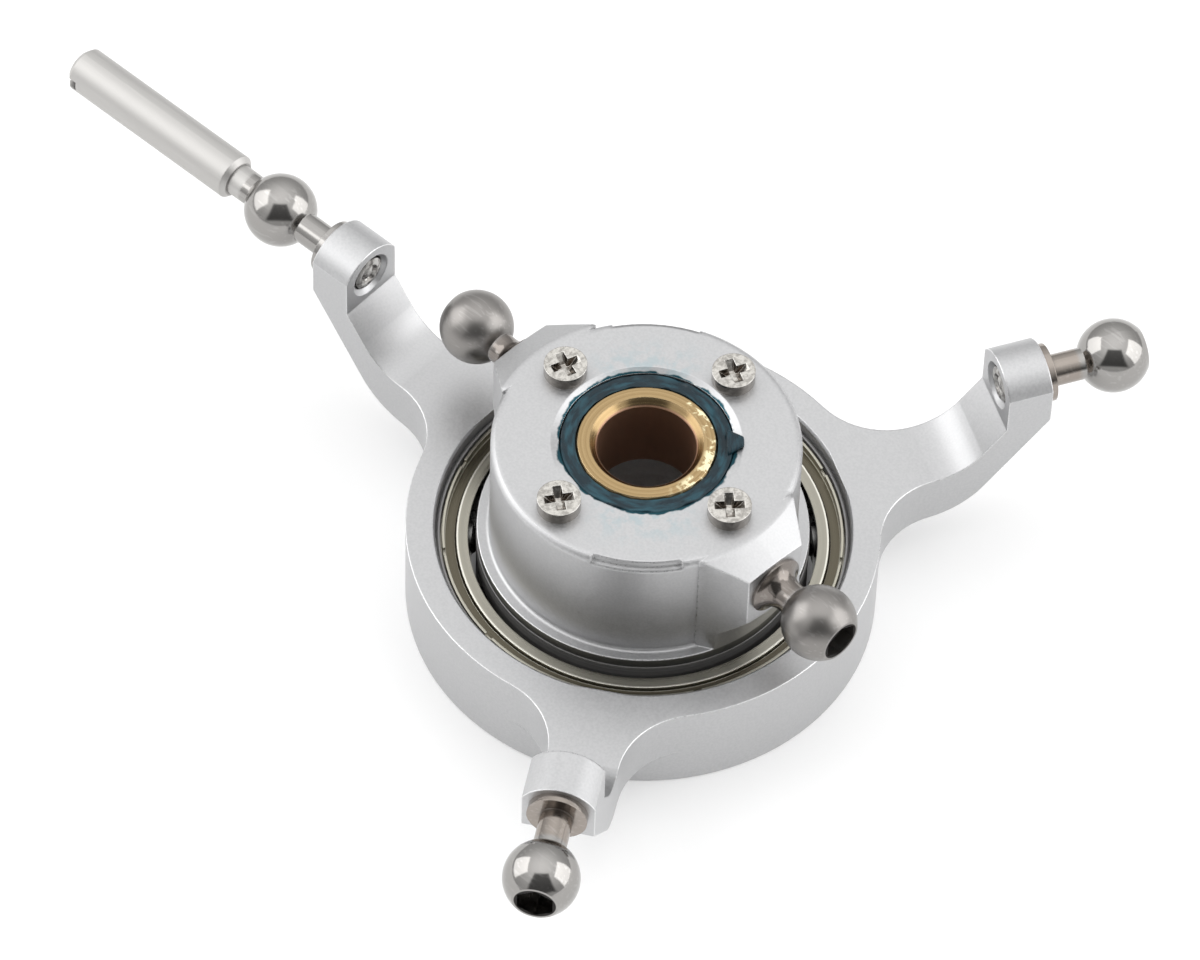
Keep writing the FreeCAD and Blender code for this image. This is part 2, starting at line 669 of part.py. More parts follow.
def make_cage_half(name, upside_down):
    """Pressed ribbon with a pocket over every ball; the two halves meet flat."""
    body = new_piece(name)
    turn(body, "strip", [
        ("CAGE_INSIDE", "0"),
        ("CAGE_OUTSIDE", "0"),
        ("CAGE_OUTSIDE", "cage_sheet"),
        ("CAGE_INSIDE", "cage_sheet"),
    ])
    wall = disc(body, "dome_circle", "YZ_Plane", "0", "ball_size/2 + cage_play + cage_sheet",
                lift="CAGE_INSIDE")
    dome = pad(body, "dome", wall, "CAGE_OUTSIDE - CAGE_INSIDE")
    hollow = disc(body, "hollow_circle", "YZ_Plane", "0", "ball_size/2 + cage_play",
                  lift="CAGE_INSIDE - cage_sheet")
    cut = pocket(body, "hollow", hollow, "CAGE_OUTSIDE - CAGE_INSIDE + 2*cage_sheet", reversed_cut=True)
    around(body, "pockets", [dome, cut], "ball_count")
    turn(body, "joint_face", [
        ("CAGE_INSIDE - ball_size", "cage_joint/2"),
        ("CAGE_INSIDE - ball_size", "-ball_size"),
        ("CAGE_OUTSIDE + ball_size", "-ball_size"),
        ("CAGE_OUTSIDE + ball_size", "cage_joint/2"),
    ], cut=True)
    between, aside = rivet_spot()
    hole = disc(body, "rivet_hole_circle", "XY_Plane", between, "rivet_size/2 + fixed_play",
                along=aside, lift="2*cage_sheet")
    drilling = pocket(body, "rivet_hole", hole, "3*cage_sheet")
    around(body, "rivet_holes", [drilling], "ball_count")
    lay_in_bearing(body, upside_down)
    return body


def make_cage_rivets():
    """Rivets that close the cage between the balls, all in one piece file."""
    body = new_piece("cage_rivets")
    between, aside = rivet_spot()
    end = "(cage_sheet + rivet_end)"
    shank = disc(body, "shank_circle", "XY_Plane", between, "rivet_size/2", along=aside, lift="-" + end)
    rivet = pad(body, "shank", shank, "2*" + end)
    around(body, "rivets", [rivet], "ball_count")
    lay_in_bearing(body, upside_down=False)
    return body


def ball_end(ball_x, neck):
    """Half section of a ball with a flat outer end, from its neck to its socket."""
    neck_x = "%s - sqrt(BALL_RADIUS^2 - (%s/2)^2)" % (ball_x, neck)
    flat_x = "%s + sqrt(BALL_RADIUS^2 - BALL_FLAT^2)" % ball_x
    return [(neck_x, neck + "/2", "-BALL_RADIUS"), (flat_x, "BALL_FLAT"), (flat_x, "0")]


def cut_hex_socket(body, ball_x):
    """Socket for a hexagon key in the ball's flat end."""
    corners = [("hex_size/sqrt(3)*cos(%d)" % angle, "hex_size/sqrt(3)*sin(%d)" % angle)
               for angle in range(30, 390, 60)]
    mouth = "%s + sqrt(BALL_RADIUS^2 - BALL_FLAT^2)" % ball_x
    key = outline(body, "hex_outline", "YZ_Plane", corners, lift=mouth)
    pocket(body, "hex_socket", key, "hex_depth")


def thread_end(inner, seat):
    """Half section of a stud's threaded end, up to the seat that its shoulder meets."""
    return [
        (inner, "0"),
        (inner, "thread_size/2 - thread_chamfer"),
        (inner + " + thread_chamfer", "thread_size/2"),
        (seat, "thread_size/2"),
    ]


def arm_stud_root():
    """Half section of an arm's stud: its thread, then the collar it is tightened against."""
    return thread_end("TIP_OUTER - servo_thread_length", "TIP_OUTER") + [
        ("TIP_OUTER", "collar_size/2"),
        ("TIP_OUTER + collar_thickness", "collar_size/2"),
        ("TIP_OUTER + collar_thickness", "neck_size/2"),
    ]


def make_servo_stud(name, order):
    """Ball stud for a servo link, screwed into an arm's tip."""
    body = new_piece(name)
    turn(body, "stud", arm_stud_root() + ball_end("servo_circle", "neck_size"), axis="X_Axis")
    cut_hex_socket(body, "servo_circle")
    clock(body, "%d + %d*%d/arm_count" % (HALF_TURN, order, FULL_TURN))
    return body


def make_anti_rotation_stud():
    """Ball stud that runs on into the pin that stops the plate from turning."""
    body = new_piece("anti_rotation_stud")
    turn(body, "stud", arm_stud_root() + [
        ("servo_circle - sqrt(BALL_RADIUS^2 - (neck_size/2)^2)", "neck_size/2", "-BALL_RADIUS"),
        ("servo_circle + sqrt(BALL_RADIUS^2 - (pin_neck_size/2)^2)", "pin_neck_size/2"),
        ("PIN_START", "pin_neck_size/2"),
        ("PIN_START", "pin_size/2 - pin_chamfer"),
        ("PIN_START + pin_chamfer", "pin_size/2"),
        ("PIN_END - pin_chamfer", "pin_size/2"),
        ("PIN_END", "pin_size/2 - pin_chamfer"),
        ("PIN_END", "0"),
    ], axis="X_Axis")
    slot = outline(body, "slot_outline", "YZ_Plane", [
        ("-pin_size", "-slot_width/2"),
        ("pin_size", "-slot_width/2"),
        ("pin_size", "slot_width/2"),
        ("-pin_size", "slot_width/2"),
    ], lift="PIN_END")
    pocket(body, "driver_slot", slot, "slot_depth")
    clock(body, str(HALF_TURN))
    return body


def make_link_stud(name, order):
    """Ball stud for a rotor link, screwed into a hub boss."""
    body = new_piece(name)
    turn(body, "stud", thread_end("(SCREW_CIRCLE + screw_size/2 + link_thread_gap)", "BOSS_REACH") + [
        ("BOSS_REACH", "trumpet_size/2"),
        ("BOSS_REACH + trumpet_rim", "trumpet_size/2", "trumpet_length"),
        ("BOSS_REACH + trumpet_rim + trumpet_length", "neck_size/2"),
    ] + ball_end("(BOSS_REACH + link_standoff)", "neck_size"), axis="X_Axis")
    cut_hex_socket(body, "(BOSS_REACH + link_standoff)")
    clock(body, "hub_clocking + %d*%d/link_count" % (order, FULL_TURN))
    return body


pieces = [make_outer_plate(), make_hub(), make_retainer(), make_pivot_ball(), make_hub_screws()]
pieces += make_seats()
pieces += make_races()
pieces.append(make_bearing_balls())
pieces += [make_cage_half("cage_upper_half", False), make_cage_half("cage_lower_half", True)]
pieces.append(make_cage_rivets())
pieces += [make_shield("upper_shield", False), make_shield("lower_shield", True)]
pieces += [make_servo_stud("right_servo_stud", 1), make_servo_stud("left_servo_stud", 2)]
pieces.append(make_anti_rotation_stud())
pieces += [make_link_stud("front_link_stud", 0), make_link_stud("rear_link_stud", 1)]
doc.recompute()

for item in doc.Objects:
    if "Invalid" in item.State or "Error" in item.State:
        raise RuntimeError("%s failed: %s" % (item.Name, item.State))
os.makedirs("parts", exist_ok=True)
for piece in pieces:
    if piece.Shape.isNull() or not piece.Shape.isValid():
        raise RuntimeError("%s has no valid shape" % piece.Label)
    piece.Shape.exportStep("parts/%s.step" % piece.Label)
    print(piece.Label, len(piece.Shape.Solids), round(piece.Shape.Volume, 3))
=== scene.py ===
# %% [markdown]
# # A helicopter swashplate
#
# The swashplate carries the pilot's commands from the still body of a helicopter to its
# spinning blades. The solids come ready made, in metres, as a fixed frame. This lesson
# gives them their finishes, adds the grease round the pivot ball, and sets up the studio.

# %% Load the frame
import bpy
import math
from mathutils import Matrix, Vector


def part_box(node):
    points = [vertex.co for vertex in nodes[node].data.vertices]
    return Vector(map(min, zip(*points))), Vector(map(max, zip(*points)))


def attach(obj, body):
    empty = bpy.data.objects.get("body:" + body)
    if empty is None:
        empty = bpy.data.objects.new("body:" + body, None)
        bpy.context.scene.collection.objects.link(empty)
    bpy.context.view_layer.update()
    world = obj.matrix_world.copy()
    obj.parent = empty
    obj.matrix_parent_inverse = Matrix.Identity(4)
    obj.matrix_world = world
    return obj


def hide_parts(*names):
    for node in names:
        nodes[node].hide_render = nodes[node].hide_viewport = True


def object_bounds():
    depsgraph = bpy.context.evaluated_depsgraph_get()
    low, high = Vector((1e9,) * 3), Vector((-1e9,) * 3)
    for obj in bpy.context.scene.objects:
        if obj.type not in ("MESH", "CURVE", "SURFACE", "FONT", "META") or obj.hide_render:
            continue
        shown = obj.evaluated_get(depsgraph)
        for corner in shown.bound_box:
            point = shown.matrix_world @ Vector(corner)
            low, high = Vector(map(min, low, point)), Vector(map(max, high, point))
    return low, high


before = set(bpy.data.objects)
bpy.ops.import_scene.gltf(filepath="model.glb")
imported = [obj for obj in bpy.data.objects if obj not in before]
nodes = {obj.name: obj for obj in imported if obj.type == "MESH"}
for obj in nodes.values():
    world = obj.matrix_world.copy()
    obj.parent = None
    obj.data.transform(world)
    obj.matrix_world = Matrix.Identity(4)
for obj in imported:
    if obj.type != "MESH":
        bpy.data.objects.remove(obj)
MM = 0.001
cad_box = [list(corner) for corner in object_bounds()]
print("pieces in the frame:", len(nodes))

# %% [markdown]
# ## Camera
#
# A small part is photographed from well back with a long lens, so its circles stay nearly
# true ellipses. The camera is placed by the way it looks: how far round it stands, how
# high, and how much it leans. Its three axes then make its matrix.

# %% Camera
round_from_front = math.radians(40.16)
height_angle = math.radians(52.78)
lean = math.radians(1.97)
distance = 358.9 * MM
aim_right, aim_up = -2.27 * MM, -0.37 * MM
focal_length = 215.5

away = Vector((-math.sin(round_from_front), math.cos(round_from_front), 0))
backward = -away * math.cos(height_angle) + Vector((0, 0, math.sin(height_angle)))
level_right = Vector((math.cos(round_from_front), math.sin(round_from_front), 0))
level_up = backward.cross(level_right)
right = level_right * math.cos(lean) + level_up * math.sin(lean)
up = level_up * math.cos(lean) - level_right * math.sin(lean)

camera = bpy.data.objects.new("camera", bpy.data.cameras.new("camera"))
bpy.context.scene.collection.objects.link(camera)
bpy.context.scene.camera = camera
place = right * aim_right + up * aim_up + backward * distance
camera_axes = Matrix((right, up, backward)).transposed().to_4x4()
camera.matrix_world = Matrix.Translation(place) @ camera_axes
camera.data.sensor_width = 36
camera.data.lens = focal_length
camera.data.clip_start = 0.01
print("camera at", [round(value, 3) for value in place])

# %% [markdown]
# ## Helpers for shader nodes
#
# Every finish below is built from small nodes. A few short helpers keep that readable: one
# adds a node and fills its inputs, and the others do one step each with numbers, masks and
# colours. A mask is a value from 0 to 1 that says where something shows.

# %% Numbers and colours
def add_node(tree, kind, inputs=None, **settings):
    """Add a node; each input is given a plain value, or is linked to a socket."""
    node = tree.nodes.new(kind)
    for setting, value in settings.items():
        setattr(node, setting, value)
    for name, value in (inputs or {}).items():
        if isinstance(value, bpy.types.NodeSocket):
            tree.links.new(value, node.inputs[name])
        else:
            node.inputs[name].default_value = value
    return node


def maths(tree, operation, first, second=0.0, third=0.0):
    """The result of one arithmetic step."""
    return add_node(tree, "ShaderNodeMath", {0: first, 1: second, 2: third},
                    operation=operation).outputs[0]


def product(tree, first, *others):
    """Several values multiplied: for masks, the place where all of them agree."""
    for other in others:
        first = maths(tree, "MULTIPLY", first, other)
    return first


def between(tree, value, start, end, low=0.0, high=1.0):
    """A value that goes smoothly from low to high while another goes from start to end."""
    return add_node(tree, "ShaderNodeMapRange",
                    {"Value": value, "From Min": start, "From Max": end,
                     "To Min": low, "To Max": high},
                    interpolation_type="SMOOTHSTEP").outputs[0]


def blend_colours(tree, mask, low, high):
    """A colour that goes from low to high as the mask goes from 0 to 1."""
    return add_node(tree, "ShaderNodeMix", {0: mask, 6: low, 7: high},
                    data_type="RGBA").outputs[2]


# %% Places
def vector_maths(tree, operation, first, second=(0, 0, 0), third=(0, 0, 0)):
    """One vector step. Its outputs are a Vector, and the Value of a length or dot product."""
    return add_node(tree, "ShaderNodeVectorMath", {0: first, 1: second, 2: third},
                    operation=operation).outputs


def own_place(tree):
    """The place of a spot in its piece's own coordinates, which move with the piece."""
    return add_node(tree, "ShaderNodeTexCoord").outputs["Object"]


def turned_place(tree, spot, angle, axis):
    """A place turned about one axis."""
    return add_node(tree, "ShaderNodeVectorRotate", {"Vector": spot, "Angle": angle},
                    rotation_type=axis).outputs[0]


def split(tree, vector):
    """The X, Y and Z of a vector."""
    return add_node(tree, "ShaderNodeSeparateXYZ", {0: vector}).outputs


def level_part(tree, vector):
    """A vector with its height left out."""
    return vector_maths(tree, "MULTIPLY", vector, (1, 1, 0))["Vector"]


def axis_reach(tree, spot):
    """How far a place is from the upright axis."""
    return vector_maths(tree, "LENGTH", level_part(tree, spot))["Value"]


def noise(tree, spot, scale, detail, roughness=0.5):
    """Soft noise; the scale counts its lumps per metre."""
    return add_node(tree, "ShaderNodeTexNoise",
                    {"Vector": spot, "Scale": scale, "Detail": detail,
                     "Roughness": roughness}).outputs["Fac"]


# %% [markdown]
# ## Helpers for shared effects
#
# Grain, worn edges and dirt come back in many materials. Each is built once as a node
# group, with a few inputs to set and masks, normals or values as outputs, and is then
# placed in every material that needs it.

# %% Group helpers
def new_group(name, inputs, outputs):
    """An empty shader group, with the sockets of its input and output nodes."""
    group = bpy.data.node_groups.new(name, "ShaderNodeTree")
    for label, kind, value in inputs:
        socket = group.interface.new_socket(name=label, in_out="INPUT",
                                            socket_type="NodeSocket" + kind)
        if value is not None:
            socket.default_value = value
    for label, kind in outputs:
        group.interface.new_socket(name=label, in_out="OUTPUT",
                                   socket_type="NodeSocket" + kind)
    given = group.nodes.new("NodeGroupInput").outputs
    return group, given, group.nodes.new("NodeGroupOutput").inputs


def use_group(tree, group, inputs):
    """Place a group in a material with its own values, and give its outputs."""
    return add_node(tree, "ShaderNodeGroup", inputs, node_tree=group).outputs


# %% [markdown]
# ## Shared effect: blasted grain
#
# The aluminium is blasted with fine glass beads before it is anodised. Each bead leaves a
# tiny dent, so the surface is an even, fine grain with no direction. Two noises do this:
# one as fine as the dents, for relief, and one coarser, for a faint mottle in the tone.

# %% Blasted grain
blasted_grain, given, result = new_group(
    "blasted_grain",
    [("Dents per metre", "Float", 14000.0)],
    [("Height", "Float"), ("Mottle", "Float")])
spot = own_place(blasted_grain)
dents = noise(blasted_grain, spot, given["Dents per metre"], 2.0, 0.6)
coarser = maths(blasted_grain, "MULTIPLY", given["Dents per metre"], 0.7)
blasted_grain.links.new(dents, result["Height"])
blasted_grain.links.new(noise(blasted_grain, spot, coarser, 3.0), result["Mottle"])
print("effect:", blasted_grain.name)

# %% [markdown]
# ## Shared effect: broken edges and a painted highlight
#
# No edge on a machined part is perfectly sharp: it is broken by a hair's breadth, and that
# narrow strip catches the light as a bright line. The Bevel node turns the normals near an edge
# as a real round would. How far they turn also gives a mask, which the materials use to lower
# the roughness and to paint the colour lighter along edges as a painted highlight.

# %% Broken edges and painted highlight
edge_round_and_highlight, given, result = new_group(
    "edge_round_and_highlight", [("Width", "Float", 0.0001)], [("Normal", "Vector"), ("Mask", "Float")])
rounded = add_node(edge_round_and_highlight, "ShaderNodeBevel", {"Radius": given["Width"]}, samples=6)
rounded = rounded.outputs[0]
facing = add_node(edge_round_and_highlight, "ShaderNodeNewGeometry").outputs["Normal"]
agreement = vector_maths(edge_round_and_highlight, "DOT_PRODUCT", rounded, facing)["Value"]
swing = maths(edge_round_and_highlight, "SUBTRACT", 1.0, agreement)
edge_round_and_highlight.links.new(rounded, result["Normal"])
# The mask marks where the edge colour is painted lighter, as a painted highlight.
edge_round_and_highlight.links.new(between(edge_round_and_highlight, swing, 0.02, 0.14), result["Mask"])
print("effect:", edge_round_and_highlight.name)

# %% [markdown]
# ## Shared effect: turning marks
#
# A lathe leaves fine rings about the axis that the work turned on. The rings depend only
# on the distance from that axis and the place along it, so those two numbers are all that
# the noise reads. Each material turns its own axis upright before it uses the group.

# %% Turning marks
turning_marks, given, result = new_group(
    "turning_marks", [("Position", "Vector", None), ("Rings per metre", "Float", 9000.0)],
    [("Height", "Float")])
spot = given["Position"]
flat_spot = add_node(turning_marks, "ShaderNodeCombineXYZ",
                     {"X": axis_reach(turning_marks, spot),
                      "Y": split(turning_marks, spot)["Z"]}).outputs[0]
rings = noise(turning_marks, flat_spot, given["Rings per metre"], 2.0)
turning_marks.links.new(rings, result["Height"])
print("effect:", turning_marks.name)

# %% [markdown]
# ## Shared effect: dirt and painted shade in recesses
#
# Sockets, slots and corners are darkened, partly as a film of oil and partly as painted shade.
# The Ambient Occlusion node measures how closed in a spot is by its own piece, and the mask
# darkens the colour there.

# %% Dirt and painted shade in recesses
recess_dirt_and_shade, given, result = new_group(
    "recess_dirt_and_shade", [("Depth", "Float", 0.001)], [("Mask", "Float")])
openness = add_node(recess_dirt_and_shade, "ShaderNodeAmbientOcclusion", {"Distance": given["Depth"]},
                    samples=8, only_local=True).outputs["AO"]
# The mask is painted shade as well as oil: it grows wherever a spot is closed in.
recess_dirt_and_shade.links.new(between(recess_dirt_and_shade, openness, 0.75, 0.25), result["Mask"])
print("effect:", recess_dirt_and_shade.name)

# %% [markdown]
# ## Shared effect: fine scratches
#
# Handling leaves hair-thin scratches. A noise that is stretched many times longer one way
# than the other makes thin streaks, and only its highest crests are kept. Two sets lie
# across each other.

# %% Fine scratches
fine_scratches, given, result = new_group(
    "fine_scratches", [("Streaks per metre", "Float", 9000.0)], [("Mask", "Float")])
spot = own_place(fine_scratches)
stretch = (0.06, 1, 1)
crests = []
for slant in (0.5, 2.1):
    turned_spot = add_node(
        fine_scratches, "ShaderNodeMapping",
        {"Vector": spot, "Rotation": (slant, 0.4, slant), "Scale": stretch}).outputs[0]
    streaks = noise(fine_scratches, turned_spot, given["Streaks per metre"], 1.0)
    crests.append(between(fine_scratches, streaks, 0.62, 0.72))
fine_scratches.links.new(maths(fine_scratches, "MAXIMUM", *crests), result["Mask"])
print("effect:", fine_scratches.name)

# %% [markdown]
# ## Shared effect: a film of grease
#
# Assembly grease squeezes out round the pivot ball and is wiped outwards in patches. The
# mask is strongest at the mouth and fades with distance, broken up by noise, and it keeps
# to two sides, where a cloth has passed.

# %% Grease film
grease_film, given, result = new_group(
    "grease_film",
    [("Mouth radius", "Float", 0.0044), ("Reach", "Float", 0.0028), ("Clocking", "Float", 0.0)],
    [("Mask", "Float")])
turned_spot = turned_place(grease_film, own_place(grease_film), given["Clocking"], "Z_AXIS")
reach = axis_reach(grease_film, turned_spot)
past_mouth = maths(grease_film, "SUBTRACT", reach, given["Mouth radius"])
past_mouth = maths(grease_film, "DIVIDE", past_mouth, given["Reach"])
fade = between(grease_film, past_mouth, 0.0, 1.0, 1.0, 0.0)
sideways = maths(grease_film, "DIVIDE", split(grease_film, turned_spot)["Y"], reach)
two_sides = between(grease_film, maths(grease_film, "ABSOLUTE", sideways), 0.80, 0.97)
patches = between(grease_film, noise(grease_film, turned_spot, 1700.0, 5.0, 0.65), 0.42, 0.62)
grease_film.links.new(product(grease_film, fade, two_sides, patches), result["Mask"])
print("effect:", grease_film.name)

# %% [markdown]
# ## Starting and finishing a material
#
# Each material starts with one Principled shader. What is the same all over is set straight
# on its sockets, and only what changes over the surface is linked: the colour, the
# roughness and a relief, which is a height that the Bump node turns into a normal.

# %% Material helpers
def new_finish(name, metal, roughness, colour):
    """A material with its node tree and its Principled shader."""
    material = bpy.data.materials.new(name)
    material.use_nodes = True
    tree = material.node_tree
    shader = tree.nodes["Principled BSDF"]
    shader.inputs["Base Color"].default_value = colour
    shader.inputs["Metallic"].default_value = metal
    shader.inputs["Roughness"].default_value = roughness
    return material, tree, shader


def link_surface(tree, shader, colour, roughness, relief):
    """Link a colour, a roughness and a relief, given as a Bump node's inputs."""
    tree.links.new(colour, shader.inputs["Base Color"])
    tree.links.new(roughness, shader.inputs["Roughness"])
    bump = add_node(tree, "ShaderNodeBump", relief)
    tree.links.new(bump.outputs[0], shader.inputs["Normal"])


def dress(material, *names):
    """Give CAD nodes a finish through their material slots."""
    for name in names:
        nodes[name].material_slots[0].material = material
    print(material.name, "on", ", ".join(names))


# %% [markdown]
# ## Satin aluminium
#
# The plate, the hub and the retainer are milled from aluminium, blasted and anodised clear.
# The oxide makes the metal look soft and even: a rough metal with a pale, slightly cool colour.
# Grain gives relief, mottle varies tone and roughness, and broken edges are rounded in the
# normals, with their colour painted near white as a painted highlight.

# %% Satin aluminium
def satin_aluminium(name):
    """Blasted and anodised aluminium, with what its shader and its parts are made from."""
    material, tree, shader = new_finish(name, 1.0, 0.42, (0.54, 0.54, 0.545, 1))
    grain = use_group(tree, blasted_grain, {"Dents per metre": 11000.0})
    edge = use_group(tree, edge_round_and_highlight, {"Width": 0.10 * MM})
    tone = between(tree, grain["Mottle"], 0.3, 0.7)
    body = blend_colours(tree, tone, (0.505, 0.507, 0.512, 1), (0.56, 0.56, 0.565, 1))
    # Painted highlight: the colour along every edge is painted near white.
    colour = blend_colours(tree, edge["Mask"], body, (0.95, 0.95, 0.955, 1))
    satin = between(tree, grain["Mottle"], 0.3, 0.7, 0.39, 0.47)
    shine = maths(tree, "SUBTRACT", satin, maths(tree, "MULTIPLY", edge["Mask"], 0.14))
    # The colour holds the painted edge highlight; the body is the same colour without it.
    return material, tree, shader, {"body": body, "colour": colour, "shine": shine,
                                    "normal": edge["Normal"], "height": grain["Height"]}


def finish_aluminium(tree, shader, made):
    """Link the parts of a satin aluminium, with its grained normal."""
    link_surface(tree, shader, made["colour"], made["shine"],
                 {"Strength": 0.55, "Distance": 0.005 * MM, "Height": made["height"],
                  "Normal": made["normal"]})


material, tree, shader, made = satin_aluminium("satin_aluminium")
finish_aluminium(tree, shader, made)
dress(material, "outer_plate", "lower_retainer")

# %% [markdown]
# ## The hub: where on it
#
# The hub has the same finish and three touches more, each kept to one part of it. So this
# step first measures a spot's height, its distance from the axis and the way outward, and
# tells walls from flat tops by how steep they are.

# %% Places on the hub
material, tree, shader, made = satin_aluminium("greased_aluminium")
spot = own_place(tree)
height = split(tree, spot)["Z"]
reach = axis_reach(tree, spot)
outward = vector_maths(tree, "NORMALIZE", level_part(tree, spot))["Vector"]
true_normal = add_node(tree, "ShaderNodeNewGeometry").outputs["True Normal"]
levelness = maths(tree, "ABSOLUTE", split(tree, true_normal)["Z"])
flat_top = maths(tree, "GREATER_THAN", levelness, 0.95)


def mix_normals(mask, first, second):
    """A normal that turns from the first to the second with a mask."""
    mixed = add_node(tree, "ShaderNodeMix", {0: mask, 4: first, 5: second}, data_type="VECTOR")
    return vector_maths(tree, "NORMALIZE", mixed.outputs[1])["Vector"]


# %% [markdown]
# ## The hub: soft creases
#
# Its bosses run into the barrel with hardly a crease, so a wide Bevel node turns the wall's
# normals there, kept level so that the top edge stays crisp. A narrower one softens the
# shallow ledge at the top edge.

# %% Soft creases
barrel_ends = 8.75 * MM, 8.45 * MM
foot_ends = -4.2 * MM, -3.9 * MM
top_starts = 2.3 * MM, 2.1 * MM
wide = add_node(tree, "ShaderNodeBevel", {"Radius": 0.8 * MM}, samples=12).outputs[0]
wall = product(tree, maths(tree, "LESS_THAN", levelness, 0.1),
               between(tree, reach, *barrel_ends),
               between(tree, height, *foot_ends), between(tree, height, *top_starts))
normal = mix_normals(wall, made["normal"], level_part(tree, wide))

ledge_height = 1.95 * MM, 2.1 * MM
ledge_starts = 7.30 * MM, 7.42 * MM
ledge_ends = 8.0 * MM, 7.9 * MM
soft = add_node(tree, "ShaderNodeBevel", {"Radius": 0.45 * MM}, samples=8).outputs[0]
ledge = product(tree, between(tree, height, *ledge_height),
                between(tree, reach, *ledge_starts), between(tree, reach, *ledge_ends))
normal = mix_normals(ledge, normal, soft)
# On the wall and the ledge the body colour is used, without the painted edge highlight.
plain = maths(tree, "MAXIMUM", wall, maths(tree, "MULTIPLY", ledge, 0.7))
made["colour"] = blend_colours(tree, plain, made["colour"], made["body"])

# %% [markdown]
# ## The hub: a broken mouth and smeared grease
#
# The mouth's edge is broken by hand, more on its far side. No metal needs to go: in a narrow
# ring the normals lean inward, and the ring shines like a chamfer. Grease is smeared over the
# top and squeezed out ragged at the mouth, and below the wall's foot the hub is painted darker,
# as shade on the lip.

# %% Mouth, smears and foot
mouth_edge = 4.84 * MM, 4.74 * MM
leaning = vector_maths(tree, "MULTIPLY_ADD", outward, (-0.62, -0.62, 0), (0, 0, 1))["Vector"]
far_side = vector_maths(tree, "DOT_PRODUCT", outward, tuple(away))["Value"]
mouth = product(tree, flat_top, between(tree, reach, *mouth_edge),
                between(tree, far_side, -0.5, 0.0))
made["normal"] = mix_normals(mouth, normal, leaning)

squeezed_ends = 4.15 * MM, 4.05 * MM
smears = use_group(tree, grease_film, {"Clocking": -round_from_front})["Mask"]
wander = noise(tree, spot, 900.0, 4.0)
ragged = maths(tree, "MULTIPLY_ADD", wander, -0.7 * MM, reach)
squeezed = maths(tree, "MULTIPLY", flat_top, between(tree, ragged, *squeezed_ends))
colour = blend_colours(tree, maths(tree, "MULTIPLY", smears, 0.34), made["colour"],
                       (0.26, 0.44, 0.49, 1))
colour = blend_colours(tree, squeezed, colour, (0.02, 0.07, 0.09, 1))

# Painted shade: below the foot of the wall the colour is darkened.
shaded_lip_band = -4.42 * MM, -4.52 * MM
foot = maths(tree, "MULTIPLY", between(tree, height, *shaded_lip_band), 0.75)
made["colour"] = blend_colours(tree, foot, colour, (0.12, 0.12, 0.115, 1))
finish_aluminium(tree, shader, made)
dress(material, "rotating_hub")

# %% [markdown]
# ## Polished and ground steel
#
# The ball studs are turned from steel. Their balls are polished to a mirror, the necks are a
# little duller, the long pin is ground, and the sockets and other recesses are painted dark,
# partly as oil and partly as shade. One function makes a stud's finish, told where along the
# stud the surface turns from one to the other.

# %% Stud steel
def stud_steel(name, clock_degrees, bright, dull, change, end, tones):
    """Stud finish: one surface before the change, another beyond it, and a socket in its end
    painted dark, as oil and as shade.

    The change and the end are distances from the shaft's axis in millimetres.
    """
    material, tree, shader = new_finish(name, 1.0, bright, (*tones[0], 1))
    level = turned_place(tree, own_place(tree), math.radians(-clock_degrees), "Z_AXIS")
    upright = turned_place(tree, level, math.radians(90), "Y_AXIS")
    along = split(tree, level)["X"]
    beyond = between(tree, along, (change - 0.15) * MM, (change + 0.15) * MM)
    at_end = between(tree, along, (end - 0.02) * MM, (end + 0.02) * MM)
    in_socket = between(tree, axis_reach(tree, upright), 1.06 * MM, 1.02 * MM)
    marks = use_group(tree, turning_marks, {"Position": upright, "Rings per metre": 7000.0})
    dirt_and_shade = use_group(tree, recess_dirt_and_shade, {"Depth": 1.1 * MM})["Mask"]
    # The socket in the end is painted dark: partly oil, partly painted shade.
    dirt_and_shade = maths(tree, "MAXIMUM", dirt_and_shade, maths(tree, "MULTIPLY", at_end, in_socket))
    scratches = use_group(tree, fine_scratches, {"Streaks per metre": 5000.0})["Mask"]
    edge = use_group(tree, edge_round_and_highlight, {"Width": 0.05 * MM})
    colour = blend_colours(tree, beyond, (*tones[0], 1), (*tones[1], 1))
    colour = blend_colours(tree, maths(tree, "MULTIPLY", scratches, 0.07), colour,
                           (0.9, 0.89, 0.87, 1))
    # Recesses and the socket are painted near black, as oil and as painted shade.
    colour = blend_colours(tree, dirt_and_shade, colour, (0.02, 0.018, 0.017, 1))
    rough = maths(tree, "MULTIPLY_ADD", beyond, dull - bright, bright)
    rough = maths(tree, "MULTIPLY_ADD", scratches, 0.03, rough)
    rough = maths(tree, "MULTIPLY_ADD", dirt_and_shade, 0.3, rough)
    link_surface(tree, shader, colour, rough,
                 {"Strength": 0.25, "Distance": 0.003 * MM, "Height": marks["Height"],
                  "Normal": edge["Normal"]})
    return material


hub_clocking = -5.3
polished = ((0.32, 0.285, 0.256), (0.34, 0.33, 0.318))
ground = ((0.34, 0.33, 0.318), (0.53, 0.52, 0.505))
satin = ((0.215, 0.193, 0.177), (0.27, 0.258, 0.247))
dress(stud_steel("polished_steel_right", -60, 0.16, 0.12, 23.0, 26.49, polished),
      "right_servo_stud")
dress(stud_steel("polished_steel_left", 60, 0.16, 0.12, 23.0, 26.49, polished),
      "left_servo_stud")
dress(stud_steel("polished_and_ground_steel", 180, 0.15, 0.5, 27.2, 99.0, ground),
      "anti_rotation_stud")
dress(stud_steel("satin_steel_front", hub_clocking, 0.16, 0.34, 10.7, 13.99, satin),
      "front_link_stud")
dress(stud_steel("satin_steel_rear", hub_clocking + 180, 0.16, 0.34, 10.7, 13.99, satin),
      "rear_link_stud")
